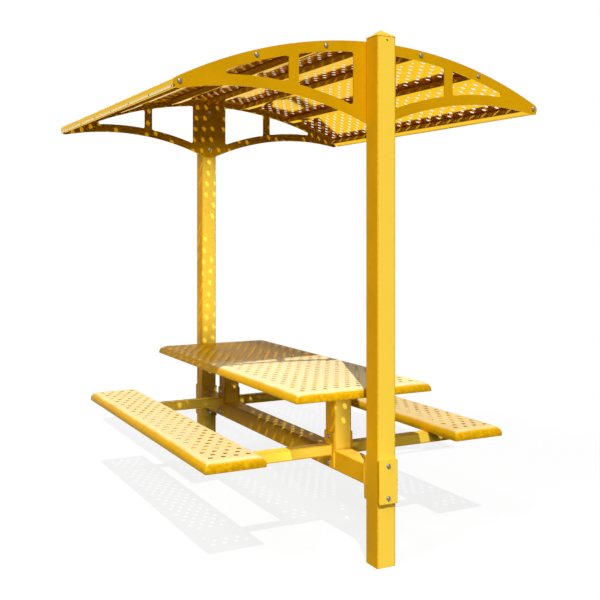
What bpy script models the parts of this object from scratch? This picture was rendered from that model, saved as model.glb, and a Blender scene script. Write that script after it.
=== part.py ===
"""Shaded picnic table: two posts carry an arched perforated roof, and a spine beam
between the posts carries the table and its two benches.

Frame: metres, +Z up, origin on the ground midway between the posts. The posts stand
in line along Y, front post at -Y. The arches and the seat arms run along X.
"""
import math
from collections import namedtuple

import bmesh
import bpy
from mathutils import Matrix, Vector
from mathutils.geometry import delaunay_2d_cdt

# Clearances and stock
SEAT_GAP = 0.0003          # between pieces that bear on each other
BOLT_CLEARANCE = 0.0008    # between a bolt's shank and its hole, on the radius
PLATE = 0.006              # arches, flanges and the plates that close tubes
SHEET = 0.003              # perforated sheet of the roof, table and benches
TUBE_CORNER = 0.006        # outside corner of every square tube

# Posts and their caps
POST_SIDE = 0.1016
POST_WALL = 0.0048
POST_HEIGHT = 2.480
POST_SPACING = 2.234       # centre to centre
CAP_OVERHANG = 0.001
CAP_LIP = 0.004
CAP_RISE = 0.034
CAP_PLUG = 0.025

# Arch plates
ARCH_DROP = 0.010          # arch crown below the post's top
ARCH_HALF_SPAN = 1.007
ARCH_RISE = 0.244
CREST_X = 0.675            # where the lower edge is highest
CREST_DEPTH = 0.152        # plate depth there
WEB_WIDTH = 0.238          # plain middle that is bolted to the post
WEB_DEPTH = 0.401          # crown to the bottom of the middle
LOBE_RADIUS = 0.120        # rounding of that bottom
BAND = 0.051               # rim left round the windows
STRUT_X = 0.433
STRUT_WIDTH = 0.051
WINDOW_CORNER = 0.010
WEB_BOLT_LOW = 0.056       # above the bottom of the middle
WEB_BOLT_HIGH = 0.085      # below the crown

# Purlins and roof panels
PURLIN_SIDE = 0.0381
PURLIN_WALL = 0.003
PURLIN_INSET = 0.0225      # purlin centre below the arch's top edge
PURLIN_X = (0.266, 0.619)  # inner and middle purlins
EAVE_INSET = 0.026         # eave purlin in from the arch's tip
PANEL_JOINT = 0.003        # open joint between two panels
PANEL_END = 0.002          # panel to arch plate
EAVE_FLANGE = 0.030        # panel edge folded down at the eave

# Perforation, drawn at a wide pitch: the finished sheet has holes in between as well
HOLE_DIAMETER = 0.0254
HOLE_PITCH = 0.190
HOLE_MARGIN = 0.022        # edge of the flat to the nearest hole's centre
HOLE_SIDES = 6
HOLE_TURN = math.radians(15)  # keeps the corners of neighbouring holes out of line
ROOF_OPENING = 0.072       # one opening for a group of the roof's holes, with the same open share
ROOF_PITCH = 0.120
ROOF_MARGIN = 0.045        # edge of a panel's flat to the nearest opening's centre
ROOF_ROWS = 12

# Table and benches
TABLE_TOP = 0.811
TABLE_WIDTH = 0.766
TABLE_LENGTH = 1.990
TABLE_DEPTH = 0.047
SEAT_TOP = 0.545
BENCH_WIDTH = 0.303
BENCH_LENGTH = 1.988
BENCH_DEPTH = 0.053
BENCH_X = 0.685            # centre line of a bench
PAN_SHOULDER = 0.030       # rounding from the top to the skirt
PAN_CORNER = 0.008         # rounding of a pan's corners, seen from above
PAN_LIP = 0.012            # skirt edge turned in
RAIL_WIDTH = 0.057
RAIL_WALL = 0.004
RAIL_END_GAP = 0.010       # rail's end to the pan's flat top edge
TABLE_RAIL_HEIGHT = 0.038

# Spine beam, pedestals and seat arms
FRAME_SIDE = 0.098
FRAME_WALL = 0.0048
PEDESTAL_INSET = 0.279     # centre of a pedestal in from the end of the table
PEDESTAL_PLATE = 0.116
ARM_SIDE = 0.057
ARM_WALL = 0.004
ARM_SETBACK = 0.0900       # arm's end in from the bench's outer edge
ARM_FLANGE_HEIGHT = 0.180
ARM_BOLT_SPACING = 0.130
CLAMP_THICKNESS = 0.016    # clamp plates and the beam's end plates
CLAMP_SIDE = 0.002         # those plates past the beam on each side
CLAMP_CORNER = 0.005
CLAMP_BOLT_ABOVE = 0.0145  # upper clamp bolt above the beam's top
CLAMP_BOLT_BELOW = 0.0376  # lower clamp bolt below the beam's bottom
CLAMP_END = 0.0285         # clamp bolt to the plate's end

# Bolts
BOLT_SHANK = 0.0095
BOLT_HEAD = 0.022
BOLT_DOME = 0.0075
BOLT_SIDES = 8
BOLT_THREAD = 0.012        # length past the last plate, where there is no nut

# How many straight pieces stand for an arc
LONG_ARC = 12              # the arch's top and lower edges
SHORT_ARC = 4              # window rims and the arch's rounded ends
CORNER_ARC = 2             # corners of windows and plates
PAN_ARC = 3                # corners and shoulder of a pan
DOME_ARC = 2               # bolt head from its rim to its top

INSIDE = 1                 # kind of fill: triangles within the outline

# Names of the ends and sides, by the sign of Y and of X, and of the purlins from the left
END_NAMES = {-1: "front", 1: "rear"}
SIDE_NAMES = {-1: "left", 1: "right"}
PURLIN_NAMES = ("eave_left", "middle_left", "inner_left", "inner_right", "middle_right", "eave_right")
PANEL_NAMES = ("eave_left", "slope_left", "crown", "slope_right", "eave_right")

# Heights and places that follow from the sizes above
ARM_TOP = SEAT_TOP - BENCH_DEPTH - SEAT_GAP
ARM_Z = ARM_TOP - ARM_SIDE / 2
BEAM_Z = ARM_Z - FRAME_SIDE / 2
CROWN_Z = POST_HEIGHT - ARCH_DROP
POST_Y = POST_SPACING / 2
PEDESTAL_Y = TABLE_LENGTH / 2 - PEDESTAL_INSET
INNER_FACE_Y = POST_Y - POST_SIDE / 2
OUTER_FACE_Y = POST_Y + POST_SIDE / 2
ARCH_Y = INNER_FACE_Y - SEAT_GAP - PLATE / 2
PURLIN_LENGTH = 2 * (ARCH_Y - PLATE / 2 - SEAT_GAP)
CLAMP_WIDTH = FRAME_SIDE + 2 * CLAMP_SIDE
CLAMP_BOLT_Z = (-FRAME_SIDE / 2 - CLAMP_BOLT_BELOW, FRAME_SIDE / 2 + CLAMP_BOLT_ABOVE)
CLAMP_HEIGHT = CLAMP_BOLT_Z[1] - CLAMP_BOLT_Z[0] + 2 * CLAMP_END
BOLT_HOLE = (BOLT_SHANK / 2 + BOLT_CLEARANCE) / math.cos(math.pi / BOLT_SIDES)

Circle = namedtuple("Circle", "center radius")
Bolt = namedtuple("Bolt", "name seat axis grip nut")


# Flat geometry

def arc(circle, start, end, steps):
    """Points along a circle from one angle to another, both ends included."""
    points = []
    for step in range(steps + 1):
        angle = start + (end - start) * step / steps
        offset = Vector((math.cos(angle), math.sin(angle))) * circle.radius
        points.append(circle.center + offset)
    return points


def angle_to(origin, target):
    """Direction from one flat point to another, as an angle."""
    delta = target - origin
    return math.atan2(delta.y, delta.x)


def ring(center, radius, sides, turn=0):
    """A regular polygon round a flat point."""
    end = turn + math.tau * (sides - 1) / sides
    return arc(Circle(Vector(center), radius), turn, end, sides - 1)


def rounded_rectangle(half_x, half_y, radius, steps):
    """A rectangle about the origin with rounded corners, anticlockwise."""
    points = []
    for quarter, (sign_x, sign_y) in enumerate(((1, 1), (-1, 1), (-1, -1), (1, -1))):
        center = Vector((sign_x * (half_x - radius), sign_y * (half_y - radius)))
        start = quarter * math.pi / 2
        points += arc(Circle(center, radius), start, start + math.pi / 2, steps)
    return points


def square(side, corner=TUBE_CORNER):
    """Cross-section of a square tube, its corners eased."""
    return rounded_rectangle(side / 2, side / 2, corner, 1)


def bore(side, wall, gap=0):
    """Inside of a square tube, or of a plug that clears it by a gap."""
    return square(side - 2 * (wall + gap), max(TUBE_CORNER - wall, SEAT_GAP))


# Meshes

def add_loop(mesh, points):
    """New vertices for a closed loop of 3D points."""
    return [mesh.verts.new(point) for point in points]


def loop_edges(mesh, loop):
    """The edges round a loop, made where they are missing."""
    edges = []
    for first, second in zip(loop, loop[1:] + loop[:1]):
        edges.append(mesh.edges.get((first, second)) or mesh.edges.new((first, second)))
    return edges


def fill(mesh, loops):
    """A flat face bounded by the first loop, with the other loops as holes in it."""
    edges = [edge for loop in loops for edge in loop_edges(mesh, loop)]
    bmesh.ops.triangle_fill(mesh, use_beauty=True, use_dissolve=False, edges=edges)


def skin(mesh, first, second):
    """Quads between two loops of the same length."""
    for index in range(len(first)):
        mesh.faces.new((first[index - 1], first[index], second[index], second[index - 1]))


def fan(mesh, rim, point):
    """Triangles from a loop to a point."""
    for start, end in zip(rim, rim[1:] + rim[:1]):
        mesh.faces.new((start, end, point))


def same_plane(loop):
    """Whether a loop lies square to one of the axes."""
    return any(max(v.co[i] for v in loop) - min(v.co[i] for v in loop) < SEAT_GAP / 10 for i in range(3))


def bridge(mesh, first, second):
    """Faces between two loops: a fan to a point, a flat ring, or quads."""
    if len(first) == 1:
        fan(mesh, second, first[0])
    elif len(second) == 1:
        fan(mesh, first, second[0])
    elif same_plane(first + second):
        fill(mesh, [first, second])
    else:
        skin(mesh, first, second)


def finish_mesh(mesh, name):
    """Points every face outwards and hands the mesh over."""
    bmesh.ops.recalc_face_normals(mesh, faces=mesh.faces)
    data = bpy.data.meshes.new(name)
    mesh.to_mesh(data)
    mesh.free()
    return data


def body(name, sections, closed=False):
    """A solid skinned over loops of points. Closed joins the last loop to the first,
    for a tube with a through bore; otherwise both ends are capped."""
    mesh = bmesh.new()
    loops = [add_loop(mesh, section) for section in sections]
    for first, second in zip(loops, loops[1:]):
        bridge(mesh, first, second)
    if closed:
        bridge(mesh, loops[-1], loops[0])
    else:
        for end in (loops[0], loops[-1]):
            if len(end) > 2:
                mesh.faces.new(end)
    return finish_mesh(mesh, name)


def along_x(points, x):
    return [Vector((x, point.x, point.y)) for point in points]


def along_y(points, y):
    return [Vector((point.x, y, point.y)) for point in points]


def along_z(points, z):
    return [Vector((point.x, point.y, z)) for point in points]


def upright_plate(name, outline, holes, thickness):
    """A plate in the XZ plane, centred on Y, with holes through it."""
    mesh = bmesh.new()
    faces = []
    for y in (-thickness / 2, thickness / 2):
        loops = [add_loop(mesh, along_y(loop, y)) for loop in [outline] + holes]
        fill(mesh, loops)
        faces.append(loops)
    for front, back in zip(*faces):
        skin(mesh, front, back)
    return finish_mesh(mesh, name)


def offset_rows(across, pitch, rows, row_step):
    """Points in rows, centred on the origin, with every second row set between its neighbours."""
    centers = []
    for row in range(rows):
        count = across - row % 2
        v = (row - (rows - 1) / 2) * row_step
        centers += [Vector(((i - (count - 1) / 2) * pitch, v)) for i in range(count)]
    return centers


def pan_holes(width, length):
    """Hole centres on the flat of a pan."""
    row_step = HOLE_PITCH * math.sin(math.pi / 3)
    rows = int((length - 2 * HOLE_MARGIN) / row_step) + 1
    across = int((width - 2 * HOLE_MARGIN) / HOLE_PITCH) + 1
    return offset_rows(across, HOLE_PITCH, rows, row_step)


def roof_openings(width, length):
    """Centres of the openings on the flat of a roof panel."""
    span = width - 2 * ROOF_MARGIN
    gaps = max(round(span / ROOF_PITCH), 1)
    return offset_rows(gaps + 1, span / gaps, ROOF_ROWS, length / ROOF_ROWS)


def perforate(mesh, border, outline, centers, diameter, place):
    """Fills a border loop, leaving a hole at each centre. Outline is the border laid flat,
    and place maps flat to 3D points."""
    points, verts, hole_of = list(outline), list(border), [None] * len(outline)
    for hole, center in enumerate(centers):
        rim = ring(center, diameter / 2, HOLE_SIDES, HOLE_TURN)
        points += rim
        verts += add_loop(mesh, [place(point) for point in rim])
        hole_of += [hole] * len(rim)
    sides, start = [], 0
    for count in [len(outline)] + [HOLE_SIDES] * len(centers):
        sides += [(start + index, start + (index + 1) % count) for index in range(count)]
        start += count
    _, _, faces, sources, _, _ = delaunay_2d_cdt(points, sides, [], INSIDE, SEAT_GAP / 1000)
    for face in faces:
        corners = [sources[corner][0] for corner in face]
        met = {hole_of[corner] for corner in corners}
        if len(met) > 1 or None in met:
            mesh.faces.new([verts[corner] for corner in corners])


def open_sheet(mesh, name):
    """Turns an open sheet's faces upwards and hands the mesh over."""
    bmesh.ops.recalc_face_normals(mesh, faces=mesh.faces)
    if sum(face.normal.z * face.calc_area() for face in mesh.faces) < 0:
        bmesh.ops.reverse_faces(mesh, faces=mesh.faces)
    data = bpy.data.meshes.new(name)
    mesh.to_mesh(data)
    mesh.free()
    return data


# Objects and finishes

def clear_scene():
    for item in list(bpy.data.objects):
        bpy.data.objects.remove(item, do_unlink=True)


def finish(name, colour, roughness, metallic):
    """A coated or bare metal finish; colour is sRGB, 0 to 255."""
    linear = [(channel / 255) ** 2.2 for channel in colour]
    material = bpy.data.materials.new(name)
    material.use_nodes = True
    shader = material.node_tree.nodes["Principled BSDF"]
    shader.inputs["Base Color"].default_value = (*linear, 1)
    shader.inputs["Roughness"].default_value = roughness
    shader.inputs["Metallic"].default_value = metallic
    material.diffuse_color = (*linear, 1)
    return material


def add_piece(name, data, location=(0, 0, 0), rotation=(0, 0, 0), material=None, smooth=False):
    """One named piece under the table's empty."""
    if material and not data.materials:
        data.materials.append(material)
    if smooth:
        data.shade_smooth()
        data.set_sharp_from_angle(angle=math.radians(40))
    piece = bpy.data.objects.new(name, data)
    piece.location = location
    piece.rotation_euler = rotation
    piece.parent = ROOT
    bpy.context.scene.collection.objects.link(piece)
    return piece


def thicken(piece, side):
    """Gives a sheet its thickness: side 1 above its faces, -1 below."""
    solidify = piece.modifiers.new("sheet", "SOLIDIFY")
    solidify.thickness = SHEET
    solidify.offset = side
    solidify.use_even_offset = True


def axis_matrix(seat, axis):
    """Turns local +Z to an axis, at a seat."""
    return Matrix.Translation(seat) @ Vector(axis).to_track_quat("Z", "Y").to_matrix().to_4x4()


def drill(piece, bolts):
    """Cuts the holes of the bolts that pass through a piece."""
    mesh = bmesh.new()
    outline = ring((0, 0), BOLT_HOLE, BOLT_SIDES)
    for bolt in bolts:
        turn = axis_matrix(bolt.seat, bolt.axis)
        depth = bolt.grip + BOLT_THREAD
        ends = [add_loop(mesh, [turn @ p for p in along_z(outline, z)]) for z in (-BOLT_DOME, depth)]
        skin(mesh, *ends)
        for end in ends:
            mesh.faces.new(end)
    cutter = bpy.data.objects.new(piece.name + "_holes", finish_mesh(mesh, piece.name + "_holes"))
    cutter.hide_render = True
    cutter.display_type = "WIRE"
    cutter.parent = ROOT
    bpy.context.scene.collection.objects.link(cutter)
    cut = piece.modifiers.new("bolt_holes", "BOOLEAN")
    cut.operation = "DIFFERENCE"
    cut.solver = "EXACT"
    cut.object = cutter


# Arch shape

def arch_circles():
    """The top edge, the right half's lower edge, the lobe and the tip, as circles."""
    radius = (ARCH_HALF_SPAN ** 2 + ARCH_RISE ** 2) / (2 * ARCH_RISE)
    top = Circle(Vector((0, CROWN_Z - radius)), radius)
    crest_z = top.center.y + math.sqrt(radius ** 2 - CREST_X ** 2) - CREST_DEPTH
    lobe = Circle(Vector((0, CROWN_Z - WEB_DEPTH + LOBE_RADIUS)), LOBE_RADIUS)
    drop = lobe.center.y - crest_z
    lower_radius = (CREST_X ** 2 + drop ** 2 - LOBE_RADIUS ** 2) / (2 * (LOBE_RADIUS - drop))
    lower = Circle(Vector((CREST_X, crest_z - lower_radius)), lower_radius)
    return top, lower, lobe, tip_circle(top, lower)


def tip_circle(top, lower):
    """The rounding that ends the arch at its span and touches both edges."""
    small, large = 0.0, BAND
    for _ in range(40):
        radius = (small + large) / 2
        x = ARCH_HALF_SPAN - radius
        z = top.center.y + math.sqrt((top.radius - radius) ** 2 - x ** 2)
        center = Vector((x, z))
        if (center - lower.center).length > lower.radius + radius:
            small = radius
        else:
            large = radius
    return Circle(center, radius)


def mirrored(half):
    """Closes a right half, listed from its bottom centre to its top centre."""
    return half + [Vector((-point.x, point.y)) for point in reversed(half[1:-1])]


def arch_outline():
    top, lower, lobe, tip = arch_circles()
    to_lower = angle_to(lobe.center, lower.center)
    half = arc(lobe, -math.pi / 2, to_lower, SHORT_ARC)
    start, end = angle_to(lower.center, lobe.center), angle_to(lower.center, tip.center)
    half += arc(lower, start, end, LONG_ARC)[1:]
    start, end = angle_to(tip.center, lower.center), angle_to(top.center, tip.center)
    half += arc(tip, start, end, SHORT_ARC)[1:]
    half += arc(top, end, math.pi / 2, LONG_ARC)[1:]
    return mirrored(half)


def corner_above(lower, x):
    """Centre of a window corner that sits on the lower band at a given x."""
    reach = lower.radius + BAND + WINDOW_CORNER
    return Vector((x, lower.center.y + math.sqrt(reach ** 2 - (x - lower.center.x) ** 2)))


def corner_below(top, x):
    """Centre of a window corner that hangs under the top band at a given x."""
    reach = top.radius - BAND - WINDOW_CORNER
    return Vector((x, top.center.y + math.sqrt(reach ** 2 - x ** 2)))


def meeting_corner(top, lower):
    """Centre of the corner where the top and lower bands run together."""
    near, far = CREST_X, ARCH_HALF_SPAN
    for _ in range(40):
        x = (near + far) / 2
        if corner_below(top, x).y > corner_above(lower, x).y:
            near = x
        else:
            far = x
    return corner_below(top, x)


def window(low_in, low_out, high_out, high_in, top, lower):
    """A window outline from its four corner centres, anticlockwise."""
    rim_low = Circle(lower.center, lower.radius + BAND)
    rim_high = Circle(top.center, top.radius - BAND)
    points = arc(rim_low, angle_to(lower.center, low_in), angle_to(lower.center, low_out),
                 SHORT_ARC)
    down, up = angle_to(low_out, lower.center), angle_to(top.center, high_out)
    if low_out == high_out:
        points += arc(Circle(low_out, WINDOW_CORNER), down, up, SHORT_ARC)[1:]
    else:
        points += arc(Circle(low_out, WINDOW_CORNER), down, 0, CORNER_ARC)[1:]
        points += arc(Circle(high_out, WINDOW_CORNER), 0, up, CORNER_ARC)
    start = angle_to(top.center, high_in)
    points += arc(rim_high, up, start, SHORT_ARC)[1:]
    points += arc(Circle(high_in, WINDOW_CORNER), start, math.pi, CORNER_ARC)[1:]
    down = angle_to(low_in, lower.center) + math.tau
    points += arc(Circle(low_in, WINDOW_CORNER), math.pi, down, CORNER_ARC)[:-1]
    return points


def arch_windows():
    """Inner and outer window of the right half, then their mirror images."""
    top, lower, _, _ = arch_circles()
    web = WEB_WIDTH / 2 + WINDOW_CORNER
    strut_in = STRUT_X - STRUT_WIDTH / 2 - WINDOW_CORNER
    strut_out = STRUT_X + STRUT_WIDTH / 2 + WINDOW_CORNER
    meet = meeting_corner(top, lower)
    inner = window(corner_above(lower, web), corner_above(lower, strut_in),
                   corner_below(top, strut_in), corner_below(top, web), top, lower)
    outer = window(corner_above(lower, strut_out), meet, meet,
                   corner_below(top, strut_out), top, lower)
    right = [inner, outer]
    return right + [[Vector((-p.x, p.y)) for p in reversed(loop)] for loop in right]


def purlin_places():
    """Centre and tilt of each purlin, from left to right: square to the arch's top edge."""
    top = arch_circles()[0]
    reach = top.radius - PURLIN_INSET
    half = (*PURLIN_X, ARCH_HALF_SPAN - EAVE_INSET)
    places = []
    for x in [-x for x in reversed(half)] + list(half):
        center = Vector((x, top.center.y + math.sqrt(reach ** 2 - x ** 2)))
        places.append((center, math.asin(x / reach)))
    return places


def web_bolt_heights():
    return CROWN_Z - WEB_DEPTH + WEB_BOLT_LOW, CROWN_Z - WEB_BOLT_HIGH


# Bolts, as places that the drilled pieces share

def purlin_bolts(end):
    """Bolts from an arch's outer face into the purlins; end is -1 front, 1 rear."""
    grip = PLATE + SEAT_GAP + PLATE
    bolts = []
    for name, (center, _) in zip(PURLIN_NAMES, purlin_places()):
        seat = Vector((center.x, end * (ARCH_Y + PLATE / 2), center.y))
        bolts.append(Bolt(f"{END_NAMES[end]}_bolt_{name}", seat, (0, -end, 0), grip, False))
    return bolts


def web_bolts(end):
    """Bolts from an arch's inner face into the post."""
    grip = PLATE + SEAT_GAP + POST_WALL
    bolts = []
    for name, z in zip(("low", "high"), web_bolt_heights()):
        seat = Vector((0, end * (ARCH_Y - PLATE / 2), z))
        bolts.append(Bolt(f"{END_NAMES[end]}_web_bolt_{name}", seat, (0, end, 0), grip, False))
    return bolts


def clamp_bolts(end):
    """Bolts right through a clamp plate, a post and the beam's end plate."""
    grip = POST_SIDE + 2 * (CLAMP_THICKNESS + SEAT_GAP)
    bolts = []
    for name, z in zip(("low", "high"), CLAMP_BOLT_Z):
        seat = Vector((0, end * (OUTER_FACE_Y + SEAT_GAP + CLAMP_THICKNESS), BEAM_Z + z))
        bolts.append(Bolt(f"{END_NAMES[end]}_clamp_bolt_{name}", seat, (0, -end, 0), grip, True))
    return bolts


def arm_bolts(end):
    """Bolts through both arm flanges, the upper through the pedestal, the lower the beam."""
    grip = FRAME_SIDE + 2 * (PLATE + SEAT_GAP)
    bolts = []
    for name, side in (("low", -1), ("high", 1)):
        z = ARM_Z + side * ARM_BOLT_SPACING / 2
        seat = Vector((-grip / 2, end * PEDESTAL_Y, z))
        bolts.append(Bolt(f"{END_NAMES[end]}_arm_bolt_{name}", seat, (1, 0, 0), grip, True))
    return bolts


def dome(seat_z, side):
    """Rings of a domed head standing off a seat; side is its direction along Z."""
    rings = []
    for step in range(DOME_ARC):
        angle = step * math.pi / 2 / DOME_ARC
        rim = ring((0, 0), BOLT_HEAD / 2 * math.cos(angle), BOLT_SIDES)
        rings.append(along_z(rim, seat_z + side * (SEAT_GAP + BOLT_DOME * math.sin(angle))))
    return rings + [[Vector((0, 0, seat_z + side * (SEAT_GAP + BOLT_DOME)))]]


def add_bolt(bolt, material):
    """A domed bolt; a through bolt ends in a domed nut."""
    shank = ring((0, 0), BOLT_SHANK / 2, BOLT_SIDES)
    sections = list(reversed(dome(0, -1)))
    if bolt.nut:
        sections += [along_z(shank, -SEAT_GAP), along_z(shank, bolt.grip + SEAT_GAP)]
        sections += dome(bolt.grip, 1)
    else:
        end = bolt.grip + BOLT_THREAD - SEAT_GAP
        sections += [along_z(shank, -SEAT_GAP), along_z(shank, end)]
    data = body(bolt.name, sections)
    turn = axis_matrix(bolt.seat, bolt.axis)
    return add_piece(bolt.name, data, turn.to_translation(), turn.to_euler(), material, True)


# Pieces

def add_post(end, material):
    outer, inner = square(POST_SIDE), bore(POST_SIDE, POST_WALL)
    sections = [along_z(outer, 0), along_z(outer, POST_HEIGHT)]
    sections += [along_z(inner, POST_HEIGHT), along_z(inner, 0)]
    name = END_NAMES[end] + "_post"
    post = add_piece(name, body(name, sections, closed=True), (0, end * POST_Y, 0), material=material)
    drill(post, clamp_bolts(end) + web_bolts(end))


def add_cap(end, material):
    """Pyramid cap with a plug that drops into the post."""
    plug = bore(POST_SIDE, POST_WALL, SEAT_GAP)
    lip = square(POST_SIDE + 2 * CAP_OVERHANG)
    sections = [along_z(plug, -CAP_PLUG), along_z(plug, SEAT_GAP), along_z(lip, SEAT_GAP)]
    sections += [along_z(lip, SEAT_GAP + CAP_LIP), [Vector((0, 0, CAP_LIP + CAP_RISE))]]
    name = END_NAMES[end] + "_post_cap"
    add_piece(name, body(name, sections), (0, end * POST_Y, POST_HEIGHT), material=material)


def add_arch(end, material):
    bolts = purlin_bolts(end) + web_bolts(end)
    holes = [ring((bolt.seat.x, bolt.seat.z), BOLT_HOLE, BOLT_SIDES) for bolt in bolts]
    name = END_NAMES[end] + "_arch"
    data = upright_plate(name, arch_outline(), arch_windows() + holes, PLATE)
    add_piece(name, data, (0, end * ARCH_Y, 0), material=material)


def add_purlins(material):
    """Square tubes with an end plate in each end, tapped for the arch's bolt."""
    outer, inner = square(PURLIN_SIDE), bore(PURLIN_SIDE, PURLIN_WALL)
    hole = ring((0, 0), BOLT_HOLE, BOLT_SIDES)
    end = PURLIN_LENGTH / 2
    sections = []
    for section, y in ((outer, -end), (hole, -end), (hole, PLATE - end), (inner, PLATE - end),
                       (inner, end - PLATE), (hole, end - PLATE), (hole, end), (outer, end)):
        sections.append(along_y(section, y))
    data = body("purlin", sections, closed=True)
    for name, (center, tilt) in zip(PURLIN_NAMES, purlin_places()):
        add_piece("purlin_" + name, data, (center.x, 0, center.y), (0, tilt, 0), material)


def purlin_seat(place, across):
    """A point just above a purlin's top face, a distance across it from its middle."""
    center, tilt = place
    along = Vector((math.cos(tilt), -math.sin(tilt)))
    normal = Vector((math.sin(tilt), math.cos(tilt)))
    return center + normal * (PURLIN_SIDE / 2 + SEAT_GAP) + along * across


def panel_section(left, right):
    """Underside of a roof panel from one purlin to the next, left to right."""
    half, joint = PURLIN_SIDE / 2, PANEL_JOINT / 2
    return [purlin_seat(left, joint), purlin_seat(left, half),
            purlin_seat(right, -half), purlin_seat(right, -joint)]


def eave_edge(place, side):
    """The panel's fold over the eave purlin's outer face: its bend and its lower edge."""
    bend = purlin_seat(place, side * (PURLIN_SIDE / 2 + SEAT_GAP))
    normal = Vector((math.sin(place[1]), math.cos(place[1])))
    return bend, bend - normal * EAVE_FLANGE


def add_roof_panel(name, section, flat, material):
    """A folded sheet with holes in its flat, which starts at a given point of the section."""
    mesh = bmesh.new()
    half = PURLIN_LENGTH / 2 - PANEL_END
    front = add_loop(mesh, along_y(section, -half))
    back = add_loop(mesh, along_y(section, half))
    for index in range(len(section) - 1):
        if index != flat:
            mesh.faces.new((front[index], front[index + 1], back[index + 1], back[index]))
    start, end = section[flat], section[flat + 1]
    middle, across = (start + end) / 2, (end - start).normalized()

    def place(point):
        spot = middle + across * point.x
        return Vector((spot.x, point.y, spot.y))

    border = [front[flat], front[flat + 1], back[flat + 1], back[flat]]
    width = (end - start).length
    signs = ((-1, -1), (1, -1), (1, 1), (-1, 1))
    outline = [Vector((x * width / 2, y * half)) for x, y in signs]
    perforate(mesh, border, outline, roof_openings(width, 2 * half), ROOF_OPENING, place)
    panel = add_piece(name, open_sheet(mesh, name), material=material)
    thicken(panel, 1)


def add_roof(material):
    places = purlin_places()
    for index, name in enumerate(PANEL_NAMES):
        left, right = places[index], places[index + 1]
        section = panel_section(left, right)
        flat = 1
        if index == 0:
            bend, hem = eave_edge(left, -1)
            section = [hem, bend] + section[1:]
            flat = 2
        if index == len(PANEL_NAMES) - 1:
            bend, hem = eave_edge(right, 1)
            section = section[:-1] + [bend, hem]
        add_roof_panel("roof_panel_" + name, section, flat, material)


def add_pan(name, width, length, depth, location, material):
    """A perforated pan: flat top, rounded shoulder, skirt and a lip turned in."""
    mesh = bmesh.new()
    profile = []
    for step in range(PAN_ARC + 1):
        angle = step * math.pi / 2 / PAN_ARC
        profile.append((PAN_SHOULDER * (1 - math.sin(angle)), PAN_SHOULDER * (math.cos(angle) - 1)))
    profile += [(0, -depth), (PAN_LIP, -depth)]
    outlines, loops = [], []
    for inset, z in profile:
        radius = max(PAN_CORNER - inset, SHEET * 2)
        outlines.append(rounded_rectangle(width / 2 - inset, length / 2 - inset, radius, PAN_ARC))
        loops.append(add_loop(mesh, along_z(outlines[-1], z)))
    for first, second in zip(loops, loops[1:]):
        skin(mesh, first, second)

    def place(point):
        return Vector((point.x, point.y, 0))

    holes = pan_holes(width - 2 * PAN_SHOULDER, length - 2 * PAN_SHOULDER)
    perforate(mesh, loops[0], outlines[0], holes, HOLE_DIAMETER, place)
    pan = add_piece(name, open_sheet(mesh, name), location, material=material)
    thicken(pan, -1)


def channel(width, height, wall):
    """Section of a channel that opens downwards, its top at zero."""
    half = width / 2
    return [Vector(point) for point in (
        (half, 0), (-half, 0), (-half, -height), (wall - half, -height),
        (wall - half, -wall), (half - wall, -wall), (half - wall, -height), (half, -height))]


def add_rail(name, length, height, location, material):
    """A cross rail under a pan."""
    section = channel(RAIL_WIDTH, height, RAIL_WALL)
    data = body(name, [along_x(section, -length / 2), along_x(section, length / 2)])
    add_piece(name, data, location, material=material)


def pan_rail_length(width):
    return width - 2 * (max(PAN_SHOULDER, PAN_LIP) + RAIL_END_GAP)


def clamp_outline():
    """Outline of a clamp plate or an end plate, about the beam's axis."""
    middle = Vector((0, sum(CLAMP_BOLT_Z) / 2))
    points = rounded_rectangle(CLAMP_WIDTH / 2, CLAMP_HEIGHT / 2, CLAMP_CORNER, CORNER_ARC)
    return [point + middle for point in points]


def add_beam(material):
    """Spine beam with an end plate against each post."""
    tube, inner, plate = square(FRAME_SIDE), bore(FRAME_SIDE, FRAME_WALL), clamp_outline()
    reach = INNER_FACE_Y - SEAT_GAP
    back = reach - CLAMP_THICKNESS
    sections = []
    for section, y in ((inner, -reach), (plate, -reach), (plate, -back), (tube, -back),
                       (tube, back), (plate, back), (plate, reach), (inner, reach)):
        sections.append(along_y(section, y))
    data = body("spine_beam", sections, closed=True)
    beam = add_piece("spine_beam", data, (0, 0, BEAM_Z), material=material)
    low_bolts = [arm_bolts(end)[0] for end in END_NAMES]
    drill(beam, clamp_bolts(-1) + clamp_bolts(1) + low_bolts)


def add_clamp_plate(end, material):
    name = END_NAMES[end] + "_clamp_plate"
    holes = [ring((0, z), BOLT_HOLE, BOLT_SIDES) for z in CLAMP_BOLT_Z]
    y = end * (OUTER_FACE_Y + SEAT_GAP + CLAMP_THICKNESS / 2)
    data = upright_plate(name, clamp_outline(), holes, CLAMP_THICKNESS)
    add_piece(name, data, (0, y, BEAM_Z), material=material)


def add_pedestal(end, material):
    """Tube welded to the beam, its top plate under the table's rail."""
    foot = ARM_Z + SEAT_GAP
    top = TABLE_TOP - SHEET - TABLE_RAIL_HEIGHT - 2 * SEAT_GAP
    tube, inner, plate = square(FRAME_SIDE), bore(FRAME_SIDE, FRAME_WALL), square(PEDESTAL_PLATE)
    sections = [along_z(inner, top - PLATE), along_z(inner, foot), along_z(tube, foot),
                along_z(tube, top - PLATE), along_z(plate, top - PLATE), along_z(plate, top)]
    name = END_NAMES[end] + "_pedestal"
    pedestal = add_piece(name, body(name, sections), (0, end * PEDESTAL_Y, 0), material=material)
    drill(pedestal, [arm_bolts(end)[1]])


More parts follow.
